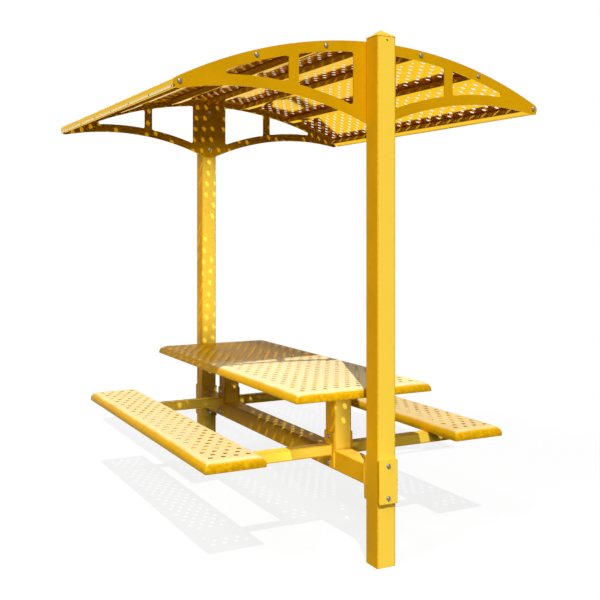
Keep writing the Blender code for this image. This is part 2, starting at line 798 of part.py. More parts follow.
def add_arm(end, side, material):
    """Seat arm: a tube closed at its end, with a flange bolted to beam and pedestal."""
    root = FRAME_SIDE / 2 + SEAT_GAP
    tip = BENCH_X + BENCH_WIDTH / 2 - ARM_SETBACK
    tube, inner = square(ARM_SIDE), bore(ARM_SIDE, ARM_WALL)
    flange = rounded_rectangle(FRAME_SIDE / 2, ARM_FLANGE_HEIGHT / 2, TUBE_CORNER, CORNER_ARC)
    sections = []
    for section, x in ((inner, tip - ARM_WALL), (inner, root), (flange, root), (flange, root + PLATE),
                       (tube, root + PLATE), (tube, tip)):
        sections.append(along_x(section, x))
    name = f"{END_NAMES[end]}_arm_{SIDE_NAMES[side]}"
    turn = (0, 0, 0 if side > 0 else math.pi)
    arm = add_piece(name, body(name, sections), (0, end * PEDESTAL_Y, ARM_Z), turn, material)
    drill(arm, arm_bolts(end))


def build():
    coat = {
        "post": finish("post_coat", (232, 178, 20), 0.45, 0.0),
        "arch": finish("arch_coat", (222, 168, 8), 0.5, 0.0),
        "sheet": finish("sheet_coat", (228, 172, 14), 0.55, 0.0),
        "frame": finish("frame_coat", (230, 176, 18), 0.45, 0.0),
        "steel": finish("stainless", (172, 170, 166), 0.3, 1.0),
    }
    for end in END_NAMES:
        add_post(end, coat["post"])
        add_cap(end, coat["post"])
        add_arch(end, coat["arch"])
        add_clamp_plate(end, coat["post"])
        add_pedestal(end, coat["frame"])
        for side in SIDE_NAMES:
            add_arm(end, side, coat["frame"])
        for bolt in purlin_bolts(end) + web_bolts(end) + clamp_bolts(end) + arm_bolts(end):
            add_bolt(bolt, coat["steel"])
    add_purlins(coat["frame"])
    add_roof(coat["sheet"])
    add_beam(coat["frame"])
    add_pan("table_top", TABLE_WIDTH, TABLE_LENGTH, TABLE_DEPTH, (0, 0, TABLE_TOP), coat["sheet"])
    for side, side_name in SIDE_NAMES.items():
        add_pan("bench_" + side_name, BENCH_WIDTH, BENCH_LENGTH, BENCH_DEPTH,
                (side * BENCH_X, 0, SEAT_TOP), coat["sheet"])
    for end, end_name in END_NAMES.items():
        under = TABLE_TOP - SHEET - SEAT_GAP
        add_rail(end_name + "_table_rail", pan_rail_length(TABLE_WIDTH), TABLE_RAIL_HEIGHT,
                 (0, end * PEDESTAL_Y, under), coat["frame"])
        for side, side_name in SIDE_NAMES.items():
            under = SEAT_TOP - SHEET - SEAT_GAP
            add_rail(f"{end_name}_bench_rail_{side_name}", pan_rail_length(BENCH_WIDTH),
                     under - ARM_TOP - SEAT_GAP, (side * BENCH_X, end * PEDESTAL_Y, under), coat["frame"])


clear_scene()
ROOT = bpy.data.objects.new("shaded_picnic_table", None)
bpy.context.scene.collection.objects.link(ROOT)
build()
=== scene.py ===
"""Looks of the shaded picnic table, built around its packed frame.

Laid out as a Blender add-on: settings, an operator for each group of pieces and one for the
stage, and a panel that lists them. Run as a script, it makes the whole scene.
"""

import math
from collections import namedtuple

import bmesh
import bpy
from bpy.props import FloatProperty, FloatVectorProperty, IntProperty, PointerProperty
from bpy.types import Operator, Panel, PropertyGroup
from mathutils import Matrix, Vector
from mathutils.geometry import delaunay_2d_cdt


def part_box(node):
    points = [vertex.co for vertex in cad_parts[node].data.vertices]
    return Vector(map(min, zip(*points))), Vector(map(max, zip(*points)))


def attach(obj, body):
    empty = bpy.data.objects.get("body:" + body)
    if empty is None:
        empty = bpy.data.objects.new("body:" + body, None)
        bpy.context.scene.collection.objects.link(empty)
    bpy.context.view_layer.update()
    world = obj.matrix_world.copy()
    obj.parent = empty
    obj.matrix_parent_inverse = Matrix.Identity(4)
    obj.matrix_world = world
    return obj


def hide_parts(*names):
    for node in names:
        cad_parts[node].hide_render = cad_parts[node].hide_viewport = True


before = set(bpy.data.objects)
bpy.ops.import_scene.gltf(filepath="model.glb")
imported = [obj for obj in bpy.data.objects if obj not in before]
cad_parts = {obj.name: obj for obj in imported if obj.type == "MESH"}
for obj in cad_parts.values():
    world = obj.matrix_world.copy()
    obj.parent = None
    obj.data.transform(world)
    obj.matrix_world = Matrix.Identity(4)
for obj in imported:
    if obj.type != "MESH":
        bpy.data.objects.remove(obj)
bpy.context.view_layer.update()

bl_info = {
    "name": "Shaded picnic table",
    "version": (1, 0, 0),
    "blender": (4, 5, 0),
    "location": "View3D > Sidebar > Picnic table",
    "description": "Makes the visible pieces of a picnic table under an arched, perforated roof",
    "category": "Object",
}

ENDS = {"front": -1, "rear": 1}
SIDES = {"left": -1, "right": 1}
RIDGE = "ridge"                       # the purlin between the posts' tops
PURLINS = ("eave_left", "middle_left", "inner_left", RIDGE,
           "inner_right", "middle_right", "eave_right")
PANEL_HOLES = {"eave_left": 6, "slope_left": 5, "crown_left": 4,
               "crown_right": 4, "slope_right": 5, "eave_right": 6}   # across each roof panel
TABLE_HOLES = 11
BENCH_HOLES = 4
TABLE_SEAM = -0.55                    # where each long skirt of the table is joined
SEAT_GAP = 0.0003                     # between pieces that touch
SUPPORT = 0.006                       # flat kept clean beside a worn edge
CORNER_TURN = math.radians(4)         # turn of an outline that counts as a corner
SHARP = 35                            # degrees from which an edge isn't smoothed
FOLD = (2, 15)                        # degrees of a roof panel's own folds
FOLD_LENGTH = 0.3                     # least length of such a fold
FLANGE_LEAN = math.radians(6)         # the eave flange inwards from upright
FLARE_LEAN = math.radians(19)         # its lower part outwards from upright
EAVE_RIVETS = 0.56                    # a rivet's place on that part, from its lower edge up
CORNER_GROWTH = 0.45                  # of a pan's corner, for each metre inwards
SHOULDER_WEAR = 0.35                  # of a pan's shoulder, 1 being that of a sharp edge
SEAM_START = 0.35                     # of a shoulder's height, where its corner seam starts
RIPPLE_DEPTH = 0.13                   # of a weld bead's radius
BODY = "root"

# Profiles: radius, or share of a rivet's or nut's radius, and height over the face
CAP_SCREW = ((0, 0.0002), (0.0013, 0.0002), (0.0015, 0.0010), (0.0026, 0.0011), (0.0038, 0.0006),
             (0.0041, 0.0), (0.0041, -0.0006), (0, -0.0006))
RIVET = ((0, 0.0011), (0.45, 0.0010), (0.8, 0.0006), (1, 0.0001), (1, -0.0004), (0, -0.0004))
NUT, NUT_DOME = ((0, 0), (1, 0), (1, 0.0030), (0.94, 0.0036)), (0.82, 0.0038)
HEAD_RIM = 0.0012                     # upright part of a bolt's head, under its dome
HEAD_EASE, BOLT_POINT = (0.0004, 0.0003), (0.0008, 0.001)    # across and along a bolt

Circle = namedtuple("Circle", "center radius")
Finish = namedtuple("Finish", "material slot")
Lamp = namedtuple("Lamp", "place target cone")


# Settings

def linear(red, green, blue):
    """A colour written as 0 to 255 for a screen, in units of light."""
    levels = [value / 255 for value in (red, green, blue)]
    return tuple(v / 12.92 if v <= 0.04045 else ((v + 0.055) / 1.055) ** 2.4 for v in levels)


def length(name, description, default):
    return FloatProperty(name=name, description=description, default=default, min=0,
                         precision=4, unit="LENGTH")


def number(name, description, default, least=1):
    return IntProperty(name=name, description=description, default=default, min=least, max=64)


def level(name, description, default, subtype="NONE"):
    return FloatProperty(name=name, description=description, default=default, min=0,
                         subtype=subtype)


def colour(name, description, *levels):
    return FloatVectorProperty(name=name, description=description, default=linear(*levels),
                               min=0, max=1, size=3, subtype="COLOR")


class PICNIC_PG_sheet(PropertyGroup):
    """Perforated sheet of the roof, the table and the benches"""
    hole_diameter: length("Hole", "Diameter of a hole in the sheet", 0.0254)
    hole_pitch: length("Pitch", "Distance between neighbouring holes", 0.062)
    hole_margin: length("Margin", "Least distance from a hole's centre to the flat's end", 0.026)
    hole_sides: number("Sides", "Straight pieces around a hole", 16, 6)
    roof_gauge: length("Roof gauge", "Thickness of the roof's sheet", 0.002)
    joint: length("Joint", "Half the gap between neighbouring roof panels", 0.0015)
    bend: length("Bend", "Inner radius of the roof's fold over the eave", 0.0035)
    flange: length("Flange", "Height of the roof's edge, folded down over the eave", 0.020)
    flare: length("Flare", "Width of the part under it that leans outwards", 0.015)
    pan_gauge: length("Pan gauge", "Thickness of the table's and the benches' sheet", 0.003)
    shoulder: length("Shoulder", "Width of the rounding from a pan's top to its skirt", 0.040)
    shoulder_drop: length("Shoulder drop", "Height of that rounding", 0.039)
    rim: length("Rim", "Flat strip kept beside the shoulder", 0.003)
    corner: length("Corner", "Rounding of a pan's corners, seen from above", 0.008)
    lip: length("Lip", "Width of the skirt's edge turned in", 0.012)
    hem: length("Hem", "Bend between a skirt and its lip", 0.004)
    corner_seam: length("Corner seam", "Width of the seams at a pan's corners", 0.0028)
    skirt_seam: length("Skirt seam", "Width of the seams in the table's long skirts", 0.006)
    seam_ripple: length("Seam ripple", "Distance between the ripples of a seam", 0.003)


class PICNIC_PG_arch(PropertyGroup):
    """Outline of the arch plates"""
    half_span: length("Half span", "Middle of an arch to its tip", 1.007)
    rise: length("Rise", "Height of the top edge over its ends", 0.244)
    crest_x: length("Crest", "Middle of an arch to the crest of its lower edge", 0.675)
    crest_depth: length("Crest depth", "Depth of the plate at the crest", 0.152)
    web_width: length("Web", "Width of the plate behind the post", 0.238)
    web_depth: length("Web depth", "Depth of the plate at the post", 0.401)
    lobe: length("Lobe", "Radius of the plate's lower end", 0.120)
    band: length("Band", "Width of the plate around its windows", 0.051)
    strut_x: length("Strut", "Middle of an arch to the strut between its windows", 0.433)
    strut_width: length("Strut width", "Width of that strut", 0.051)
    window_corner: length("Window corner", "Rounding of a window's corners", 0.010)


class PICNIC_PG_tubes(PropertyGroup):
    """Tubes, plates and their welds"""
    corner: length("Tube corner", "Rounding of a tube's corners", 0.006)
    bore_corner: length("Bore corner", "Rounding of an open tube's corners inside", 0.002)
    wall: length("Wall", "Wall of a tube where its end is open", 0.0048)
    cap_rise: length("Cap rise", "Height of a cap's pyramid over its lip", 0.034)
    frame_side: length("Frame tube", "Side of the spine beam and the pedestals", 0.098)
    arm_side: length("Arm tube", "Side of a seat arm", 0.057)
    purlin_side: length("Purlin tube", "Side of a purlin", 0.0381)
    purlin_inset: length("Purlin inset", "Arch's top edge to a purlin's middle", 0.0225)
    eave_inset: length("Eave inset", "Arch's tip to the eave purlin's middle", 0.026)
    inner_x: length("Inner purlin", "Middle of the roof to the inner purlin", 0.266)
    middle_x: length("Middle purlin", "Middle of the roof to the middle purlin", 0.619)
    plate: length("Plate", "Thickness of flanges and the pedestals' plates", 0.006)
    end_plate: length("End plate", "Thickness of the beam's end plates", 0.016)
    plate_corner: length("Plate corner", "Rounding of the plates at the posts", 0.005)
    rail_wall: length("Rail wall", "Thickness of the rails under the pans", 0.004)
    rail_corner: length("Rail corner", "Rounding of a rail's bends", 0.0012)
    bead: length("Weld bead", "Width of a weld bead", 0.008)
    ripple: length("Weld ripple", "Distance between the ripples of a bead", 0.0045)


class PICNIC_PG_hardware(PropertyGroup):
    """Bolts, nuts, screws and rivets"""
    head: length("Head", "Diameter of a bolt's domed head", 0.022)
    dome: length("Dome", "Height of a bolt's head or nut", 0.0075)
    shank: length("Shank", "Diameter of a bolt", 0.0095)
    nut: length("Nut", "Width of a nut across its flats", 0.0185)
    rivet: length("Rivet", "Diameter of a rivet on the eaves and the roof", 0.013)
    rivet_spacing: length("Rivet spacing", "Distance between rivets along the roof", 0.317)
    rivet_shift: length("Rivet shift", "How far the rivets lie towards the front", 0.09)
    rivet_inset: length("Rivet inset", "A purlin's middle to the rivets beside it", 0.011)
    rivets: number("Rivets", "Rivets along each edge of the roof", 7)


class PICNIC_PG_coat(PropertyGroup):
    """Colours of the coats and the metals"""
    tube: colour("Tubes", "Powder coat on posts, beam, arms, pedestals and purlins", 246, 180, 8)
    # Painted light: the paler tone laid on the tubes' tops, fronts and backs
    painted_lit_tube: colour("Faded tubes", "That coat where the sun has paled it", 255, 212, 70)
    arch: colour("Arches", "Powder coat on the arch plates", 212, 156, 4)
    sheet: colour("Sheet", "Plastic coat on the perforated sheet", 228, 172, 12)
    # Painted light: the cream of sunlit tops and of the eaves' flared lips
    painted_lit_sheet: colour("Faded sheet", "Plastic coat that the sun has bleached", 255, 233, 172)
    edge: colour("Edges", "Coat where it thins along an edge", 205, 136, 6)
    # Painted sheen: the paler tone of the undersides, drawn as glossy metal that mirrors the white
    # floor
    gloss: colour("Gloss", "Coat on the undersides, which are glossy", 255, 211, 84)
    steel: colour("Steel", "Stainless bolts", 128, 126, 122)
    screw: colour("Screws", "Dark rivets and screws", 46, 34, 8)


class PICNIC_PG_stage(PropertyGroup):
    """Floor, light and view"""
    floor: colour("Floor", "Plain floor", 254, 254, 254)
    key: level("Key light", "Strength of the high light from the left", 3.15)
    key_size: level("Key size", "Angle that the key light fills", math.radians(0.4), "ANGLE")
    fill: level("Fill light", "Strength of the soft, low light from the front", 0.8)
    side: level("Side light", "Strength of the soft, high light from the left", 1.0)
    fill_size: level("Fill size", "Angle that each soft light fills", math.radians(14), "ANGLE")
    sky: level("Sky", "Strength of the even light all round", 0.04)
    rear: level("Rear light", "Power of the lamp that lifts the rear post", 330, "POWER")
    front: level("Front light", "Power of the lamp that lifts the front pedestal", 230, "POWER")
    lens: level("Lens", "Focal length of the view", 54.11, "DISTANCE_CAMERA")


# Flat outlines, anticlockwise

def arc(circle, start, end, steps):
    points = []
    for step in range(steps + 1):
        angle = start + (end - start) * step / steps
        points.append(circle.center + circle.radius * Vector((math.cos(angle), math.sin(angle))))
    return points


def angle_to(origin, target):
    return math.atan2(target.y - origin.y, target.x - origin.x)


def ring(center, radius, sides):
    return arc(Circle(Vector(center), radius), 0, math.tau, sides)[:-1]


def rounded_rectangle(half_x, half_y, radius, steps=6):
    points = []
    for quarter, (sign_x, sign_y) in enumerate(((1, 1), (-1, 1), (-1, -1), (1, -1))):
        center = Vector((sign_x * (half_x - radius), sign_y * (half_y - radius)))
        start = quarter * math.pi / 2
        points += arc(Circle(center, radius), start, start + math.pi / 2, steps)
    return points


def rounded_square(half, radius, steps=6):
    return rounded_rectangle(half, half, radius, steps)


def neighbours(points):
    """Each point of a closed line with the one before and the one after it."""
    return zip(points[-1:] + points[:-1], points, points[1:] + points[:1])


def offset(points, distance):
    """Moves a closed outline inwards."""
    moved = []
    for before, point, after in neighbours(points):
        first, second = (point - before).normalized(), (after - point).normalized()
        normal = Vector((-first.y - second.y, first.x + second.x))
        moved.append(point + normal * distance / (1 + first.dot(second)))
    return moved


def supported(points):
    """Adds points on the long sides of an outline, near their ends, to keep the sides flat."""
    dense = []
    for point, after in zip(points, points[1:] + points[:1]):
        side = after - point
        dense.append(point)
        if side.length > 3 * SUPPORT:
            step = side.normalized() * SUPPORT
            dense += [point + step, after - step]
    return dense


def bends(points):
    """1 at each corner of an outline and 0 along its sides."""
    values = []
    for before, point, after in neighbours(points):
        turn = (point - before).angle(after - point, 0)
        values.append(1.0 if turn > CORNER_TURN else 0.0)
    return values


def fillet(points, radius, steps=3):
    """Rounds each corner of a closed outline."""
    rounded = []
    for before, corner, after in neighbours(points):
        back, ahead = (before - corner).normalized(), (after - corner).normalized()
        half = back.angle(ahead) / 2
        center = corner + (back + ahead).normalized() * radius / math.sin(half)
        start = angle_to(center, corner + back * radius / math.tan(half))
        turn = angle_to(center, corner + ahead * radius / math.tan(half)) - start
        turn = (turn + math.pi) % math.tau - math.pi
        rounded += arc(Circle(center, radius), start, start + turn, steps)
    return rounded


def staggered(across, rows, pitch):
    """Hole centres in offset rows, about the middle of a sheet."""
    step = pitch * math.sin(math.pi / 3)
    centers = []
    for row in range(rows):
        count = across - row % 2
        v = (row - (rows - 1) / 2) * step
        centers += [Vector(((i - (count - 1) / 2) * pitch, v)) for i in range(count)]
    return centers


def inside(point, outline):
    """Whether a point lies in a closed outline."""
    hit = False
    for a, b in zip(outline, outline[1:] + outline[:1]):
        if (a.y > point.y) != (b.y > point.y):
            if point.x < a.x + (b.x - a.x) * (point.y - a.y) / (b.y - a.y):
                hit = not hit
    return hit


# Bodies

def new_mesh():
    """An empty mesh whose points carry how worn they are."""
    mesh = bmesh.new()
    mesh.verts.layers.float.new("edge")
    return mesh


def add_loop(mesh, points, worn=0.0):
    """Adds points to a mesh; worn is one value for all of them or a list."""
    layer = mesh.verts.layers.float["edge"]
    values = worn if isinstance(worn, list) else [worn] * len(points)
    loop = []
    for point, value in zip(points, values):
        vert = mesh.verts.new(point)
        vert[layer] = value
        loop.append(vert)
    return loop


def rim(mesh, flat, place, height, worn=0.0):
    """A flat outline with its loop of points in space."""
    return flat, add_loop(mesh, [place(point, height) for point in flat], worn)


def loft(mesh, loops, closed=False):
    """Closes the space between each loop and the next, and from the last to the first if closed."""
    for first, second in zip(loops, loops[1:] + loops[:1] if closed else loops[1:]):
        count = len(first)
        for i in range(count):
            j = (i + 1) % count
            mesh.faces.new((first[i], first[j], second[j], second[i]))


def fan(mesh, loop, point):
    tip = mesh.verts.new(point)
    for i, vert in enumerate(loop):
        mesh.faces.new((vert, loop[(i + 1) % len(loop)], tip))


def fill(mesh, rims):
    """Fills a flat face inside the first rim and outside the others; a rim is outline and loop."""
    flats = [flat for flat, _ in rims]
    points = [point for flat in flats for point in flat]
    verts = [vert for _, loop in rims for vert in loop]
    owner = [index for index, flat in enumerate(flats) for _ in flat]
    edges, start = [], 0
    for flat in flats:
        count = len(flat)
        edges += [(start + i, start + (i + 1) % count) for i in range(count)]
        start += count
    _, _, faces, origins, _, _ = delaunay_2d_cdt(points, edges, [], 1, 1e-7)
    for face in faces:
        corners = [origins[corner][0] for corner in face]
        met = {owner[corner] for corner in corners}
        if len(met) == 1 and 0 not in met:
            middle = sum((points[corner] for corner in corners), Vector((0, 0))) / len(corners)
            if inside(middle, flats[met.pop()]):
                continue
        mesh.faces.new([verts[corner] for corner in corners])


def quarter(steps):
    """Angles over a quarter turn."""
    return [step * math.pi / 2 / steps for step in range(steps + 1)]


def solid(mesh, outline, low, high, place, ease=0.0008, holes=(), support=0.004):
    """A straight body from low to high with eased edges; place gives a point's spot in space."""
    lows, highs = [], []
    for points, inward in [(outline, 1)] + [(hole, -1) for hole in holes]:
        points = supported(points)
        corners = bends(points)
        end = [(ease * (1 - math.sin(a)), ease * (1 - math.cos(a)), 1.0) for a in quarter(3)]
        if support:
            end.insert(0, (ease + support, 0, 0.0))
        if high - low > 4 * SUPPORT:
            end.append((0, SUPPORT, corners))
        rows = [(inset, low + rise, worn) for inset, rise, worn in end]
        rows += [(inset, high - rise, worn) for inset, rise, worn in reversed(end)]
        rims = [rim(mesh, offset(points, inward * inset), place, height, worn)
                for inset, height, worn in rows]
        loft(mesh, [loop for _, loop in rims])
        lows.append(rims[0])
        highs.append(rims[-1])
    fill(mesh, lows)
    fill(mesh, highs)


def lathe(mesh, profile, place, sides=32, shape=None):
    """A turned body; its profile runs from a point on the axis to another.

    Shape bends a ring away from a circle: it gives the factor for an angle and a row.
    """
    loops = []
    for row, (radius, height) in enumerate(profile[1:-1]):
        points = []
        for side in range(sides):
            angle = math.tau * side / sides
            reach = radius * (shape(angle, row) if shape else 1)
            points.append(place(Vector((math.cos(angle), math.sin(angle))) * reach, height))
        loops.append(add_loop(mesh, points))
    loft(mesh, loops)
    axis = Vector((0, 0))
    fan(mesh, loops[0], place(axis, profile[0][1]))
    fan(mesh, loops[-1], place(axis, profile[-1][1]))


def evenly(path, step, closed):
    """Points at an even distance along a line."""
    line = path + path[:1] if closed else path
    total = sum((b - a).length for a, b in zip(line, line[1:]))
    count = max(2, round(total / step))
    points, travelled, index = [], 0.0, 0
    for i in range(count if closed else count + 1):
        goal = total * i / count
        while index < len(line) - 2 and travelled + (line[index + 1] - line[index]).length < goal:
            travelled += (line[index + 1] - line[index]).length
            index += 1
        side = line[index + 1] - line[index]
        points.append(line[index] + side.normalized() * (goal - travelled))
    return points


def bead(mesh, path, width, ripple, up, closed=True):
    """A weld bead along a line, with the ripples of its pools."""
    step = ripple / 3
    path = evenly(path, step, closed)
    rings = []
    for i, point in enumerate(path):
        before = path[i - 1] if closed or i else point
        after = path[(i + 1) % len(path)] if closed or i + 1 < len(path) else point
        side = (after - before).cross(up).normalized()
        radius = width / 2 * (1 + RIPPLE_DEPTH * math.sin(math.tau * i * step / ripple))
        circle = ring((0, 0), radius, 10)
        rings.append(add_loop(mesh, [point + side * p.x + up * p.y for p in circle]))
    loft(mesh, rings, closed)
    if not closed:
        fan(mesh, rings[0], path[0])
        fan(mesh, rings[-1], path[-1])


def upright(center):
    """Places an outline flat, and its body along Z."""
    return lambda point, height: Vector((center.x + point.x, center.y + point.y, height))


def along_y(center, tilt=0.0):
    """Places an outline on edge, tilted, and its body along Y."""
    cos, sin = math.cos(tilt), math.sin(tilt)
    return lambda point, y: Vector((center.x + point.x * cos + point.y * sin, y,
                                    center.z - point.x * sin + point.y * cos))


def along_x(center):
    """Places an outline on edge, and its body along X."""
    return lambda point, x: Vector((x, center.y + point.x, center.z + point.y))


# Pieces

def hand_over(name, mesh, folds=False):
    """Turns a mesh into data, with smooth roundings and sharp edges and folds."""
    bmesh.ops.recalc_face_normals(mesh, faces=mesh.faces)
    mesh.normal_update()
    for edge in mesh.edges:
        turn = math.degrees(edge.calc_face_angle(0))
        fold = folds and FOLD[0] < turn < FOLD[1] and edge.calc_length() > FOLD_LENGTH
        edge.smooth = turn < SHARP and not fold
    for face in mesh.faces:
        face.smooth = True
    data = bpy.data.meshes.new(name)
    mesh.to_mesh(data)
    mesh.free()
    return data


def add_piece(name, data, finish, nodes=()):
    """Puts a mesh in the scene, on the frame, in place of its CAD nodes."""
    material, slot = finish
    piece = bpy.data.objects.new(name, data)
    bpy.context.scene.collection.objects.link(piece)
    data.materials.append(material)
    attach(piece, BODY)
    if nodes:
        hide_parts(*nodes)
    return piece


def add_body(name, mesh, finish, nodes=()):
    """A solid piece whose broad faces stay flat between their roundings."""
    piece = add_piece(name, hand_over(name, mesh), finish, nodes)
    flat = piece.modifiers.new("flat_faces", "WEIGHTED_NORMAL")
    flat.keep_sharp = True


def add_solid(name, finish, nodes, outline, low, high, place, **edges):
    """A straight body as a piece; edges are the settings of its eased edges and its holes."""
    mesh = new_mesh()
    solid(mesh, outline, low, high, place, **edges)
    add_body(name, mesh, finish, nodes)


def add_sheet(name, mesh, gauge, side, finish, nodes, folds=False):
    """A sheet piece: an open skin given its thickness, above it for side 1, below for -1."""
    bmesh.ops.recalc_face_normals(mesh, faces=mesh.faces)
    if sum(face.normal.z * face.calc_area() for face in mesh.faces) < 0:
        bmesh.ops.reverse_faces(mesh, faces=mesh.faces)
    skin_data = bpy.data.meshes.new(name)
    mesh.to_mesh(skin_data)
    mesh.free()
    former = bpy.data.objects.new(name + "_skin", skin_data)
    bpy.context.scene.collection.objects.link(former)
    thick = former.modifiers.new("gauge", "SOLIDIFY")
    thick.thickness, thick.offset, thick.use_even_offset = gauge, side, True
    depsgraph = bpy.context.evaluated_depsgraph_get()
    thickened = bmesh.new()
    thickened.from_object(former, depsgraph)
    bpy.data.objects.remove(former)
    add_piece(name, hand_over(name, thickened, folds), finish, nodes)


def perforate(mesh, border, centers, sheet, place):
    """Fills a border, leaving a round hole at each centre."""
    rims = [border]
    for center in centers:
        flat = ring(center, sheet.hole_diameter / 2, sheet.hole_sides)
        rims.append((flat, add_loop(mesh, [place(point) for point in flat])))
    fill(mesh, rims)


def hole_rows(sheet, span):
    """How many offset rows of holes a span takes."""
    step = sheet.hole_pitch * math.sin(math.pi / 3)
    return int((span - 2 * sheet.hole_margin) / step) + 1


# Arch geometry

def height_on(circle, x, inset=0.0):
    """Height at x of the upper half of a circle, drawn a distance inside it."""
    reach, across = circle.radius - inset, x - circle.center.x
    return circle.center.y + math.sqrt(reach ** 2 - across ** 2)


def halve(low, high, test):
    """The value between low and high up to which a test holds."""
    for _ in range(40):
        value = (low + high) / 2
        if test(value):
            low = value
        else:
            high = value
    return value


class ArchForm:
    """The circles that an arch is drawn from, and the places that follow from them."""

    def __init__(self, arch, tubes, crown):
        self.arch, self.tubes = arch, tubes
        radius = (arch.half_span ** 2 + arch.rise ** 2) / (2 * arch.rise)
        self.top = Circle(Vector((0, crown - radius)), radius)
        crest = height_on(self.top, arch.crest_x) - arch.crest_depth
        self.lobe = Circle(Vector((0, crown - arch.web_depth + arch.lobe)), arch.lobe)
        drop = self.lobe.center.y - crest
        lower = (arch.crest_x ** 2 + drop ** 2 - arch.lobe ** 2) / (2 * (arch.lobe - drop))
        self.lower = Circle(Vector((arch.crest_x, crest - lower)), lower)
        self.tip = self.rounding(halve(0.0, arch.band, self.clears))

    def rounding(self, radius):
        """A rounding at the arch's end that touches its top edge."""
        x = self.arch.half_span - radius
        return Circle(Vector((x, height_on(self.top, x, radius))), radius)

    def clears(self, radius):
        """Whether that rounding stays clear of the lower edge."""
        gap = (self.rounding(radius).center - self.lower.center).length
        return gap > self.lower.radius + radius

    def outline(self):
        top, lower, lobe, tip = self.top, self.lower, self.lobe, self.tip
        half = arc(lobe, -math.pi / 2, angle_to(lobe.center, lower.center), 18)
        half += arc(lower, angle_to(lower.center, lobe.center),
                    angle_to(lower.center, tip.center), 60)[1:]
        end = angle_to(top.center, tip.center)
        half += arc(tip, angle_to(tip.center, lower.center), end, 16)[1:]
        half += arc(top, end, math.pi / 2, 60)[1:]
        return half + [Vector((-p.x, p.y)) for p in reversed(half[1:-1])]

    def above(self, x):
        """Centre of a window corner on the lower band."""
        inset = -self.arch.band - self.arch.window_corner
        return Vector((x, height_on(self.lower, x, inset)))

    def below(self, x):
        """Centre of a window corner under the top band."""
        inset = self.arch.band + self.arch.window_corner
        return Vector((x, height_on(self.top, x, inset)))

    def meeting(self):
        """Centre of the corner where the two bands run together."""
        x = halve(self.arch.crest_x, self.arch.half_span,
                  lambda x: self.below(x).y > self.above(x).y)
        return self.below(x)

    def window(self, low_in, low_out, high_out, high_in):
        corner, band = self.arch.window_corner, self.arch.band
        lower, top = self.lower.center, self.top.center
        points = arc(Circle(lower, self.lower.radius + band), angle_to(lower, low_in),
                     angle_to(lower, low_out), 24)
        down, up = angle_to(low_out, lower), angle_to(top, high_out)
        if low_out == high_out:
            points += arc(Circle(low_out, corner), down, up, 12)[1:]
        else:
            points += arc(Circle(low_out, corner), down, 0, 6)[1:]
            points += arc(Circle(high_out, corner), 0, up, 6)
        start = angle_to(top, high_in)
        points += arc(Circle(top, self.top.radius - band), up, start, 24)[1:]
        points += arc(Circle(high_in, corner), start, math.pi, 6)[1:]
        points += arc(Circle(low_in, corner), math.pi, angle_to(low_in, lower) + math.tau, 6)[:-1]
        return points

    def windows(self):
        """Inner and outer window of the right half, then their mirror images."""
        web = self.arch.web_width / 2 + self.arch.window_corner
        reach = self.arch.strut_width / 2 + self.arch.window_corner
        near, far = self.arch.strut_x - reach, self.arch.strut_x + reach
        meet = self.meeting()
        right = [self.window(self.above(web), self.above(near), self.below(near), self.below(web)),
                 self.window(self.above(far), meet, meet, self.below(far))]
        return right + [[Vector((-p.x, p.y)) for p in reversed(loop)] for loop in right]

    def purlins(self):
        """Centre and tilt of each purlin from the left, square to the arch's top edge."""
        tubes = self.tubes
        half = (tubes.inner_x, tubes.middle_x, self.arch.half_span - tubes.eave_inset)
        places = []
        for x in [-x for x in reversed(half)] + [0.0] + list(half):
            center = Vector((x, height_on(self.top, x, tubes.purlin_inset)))
            places.append((center, math.asin(x / (self.top.radius - tubes.purlin_inset))))
        return places


def arch_form(scene):
    return ArchForm(scene.picnic_arch, scene.picnic_tubes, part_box("front_arch")[1].z)


# Finishes

class Socket:
    """A shader socket that can stand in sums."""

    def __init__(self, shader, socket):
        self.shader, self.socket = shader, socket

    def math(self, operation, first, second):
        return self.shader.node("ShaderNodeMath", {"operation": operation}, {0: first, 1: second})

    def __add__(self, other):
        return self.math("ADD", self, other)

    def __sub__(self, other):
        return self.math("SUBTRACT", self, other)

    def __rsub__(self, other):
        return self.math("SUBTRACT", other, self)

    def __mul__(self, other):
        return self.math("MULTIPLY", self, other)

    __radd__ = __add__
    __rmul__ = __mul__


class Shader:
    """The nodes of one finish."""

    def __init__(self, tree):
        self.tree = tree
        tree.nodes.clear()

    def node(self, kind, settings=None, inputs=None, output=0):
        """Adds a node: its settings first, then the values or links of its sockets."""
        node = self.tree.nodes.new(kind)
        for name, value in (settings or {}).items():
            setattr(node, name, value)
        for name, value in (inputs or {}).items():
            if isinstance(value, Socket):
                self.tree.links.new(value.socket, node.inputs[name])
            else:
                node.inputs[name].default_value = value
        return Socket(self, node.outputs[output]) if node.outputs else None

    def noise(self, place, scale, detail):
        return self.node("ShaderNodeTexNoise", {},
                         {"Vector": place, "Scale": scale, "Detail": detail})

    def between(self, value, low, high):
        """0 below low, 1 above high, with a soft step between them."""
        return self.node("ShaderNodeMapRange", {"interpolation_type": "SMOOTHSTEP"},
                         {"Value": value, "From Min": low, "From Max": high})

    def mix(self, factor, first, second):
        """A mix of two colours."""
        return self.node("ShaderNodeMix", {"data_type": "RGBA"},
                         {0: factor, 6: first, 7: second}, 2)

    def stretched(self, place, scale):
        return self.node("ShaderNodeVectorMath", {"operation": "MULTIPLY"}, {0: place, 1: scale})

    def part(self, vector, axis):
        """One of a vector's three parts."""
        return self.node("ShaderNodeSeparateXYZ", {}, {"Vector": vector}, axis)


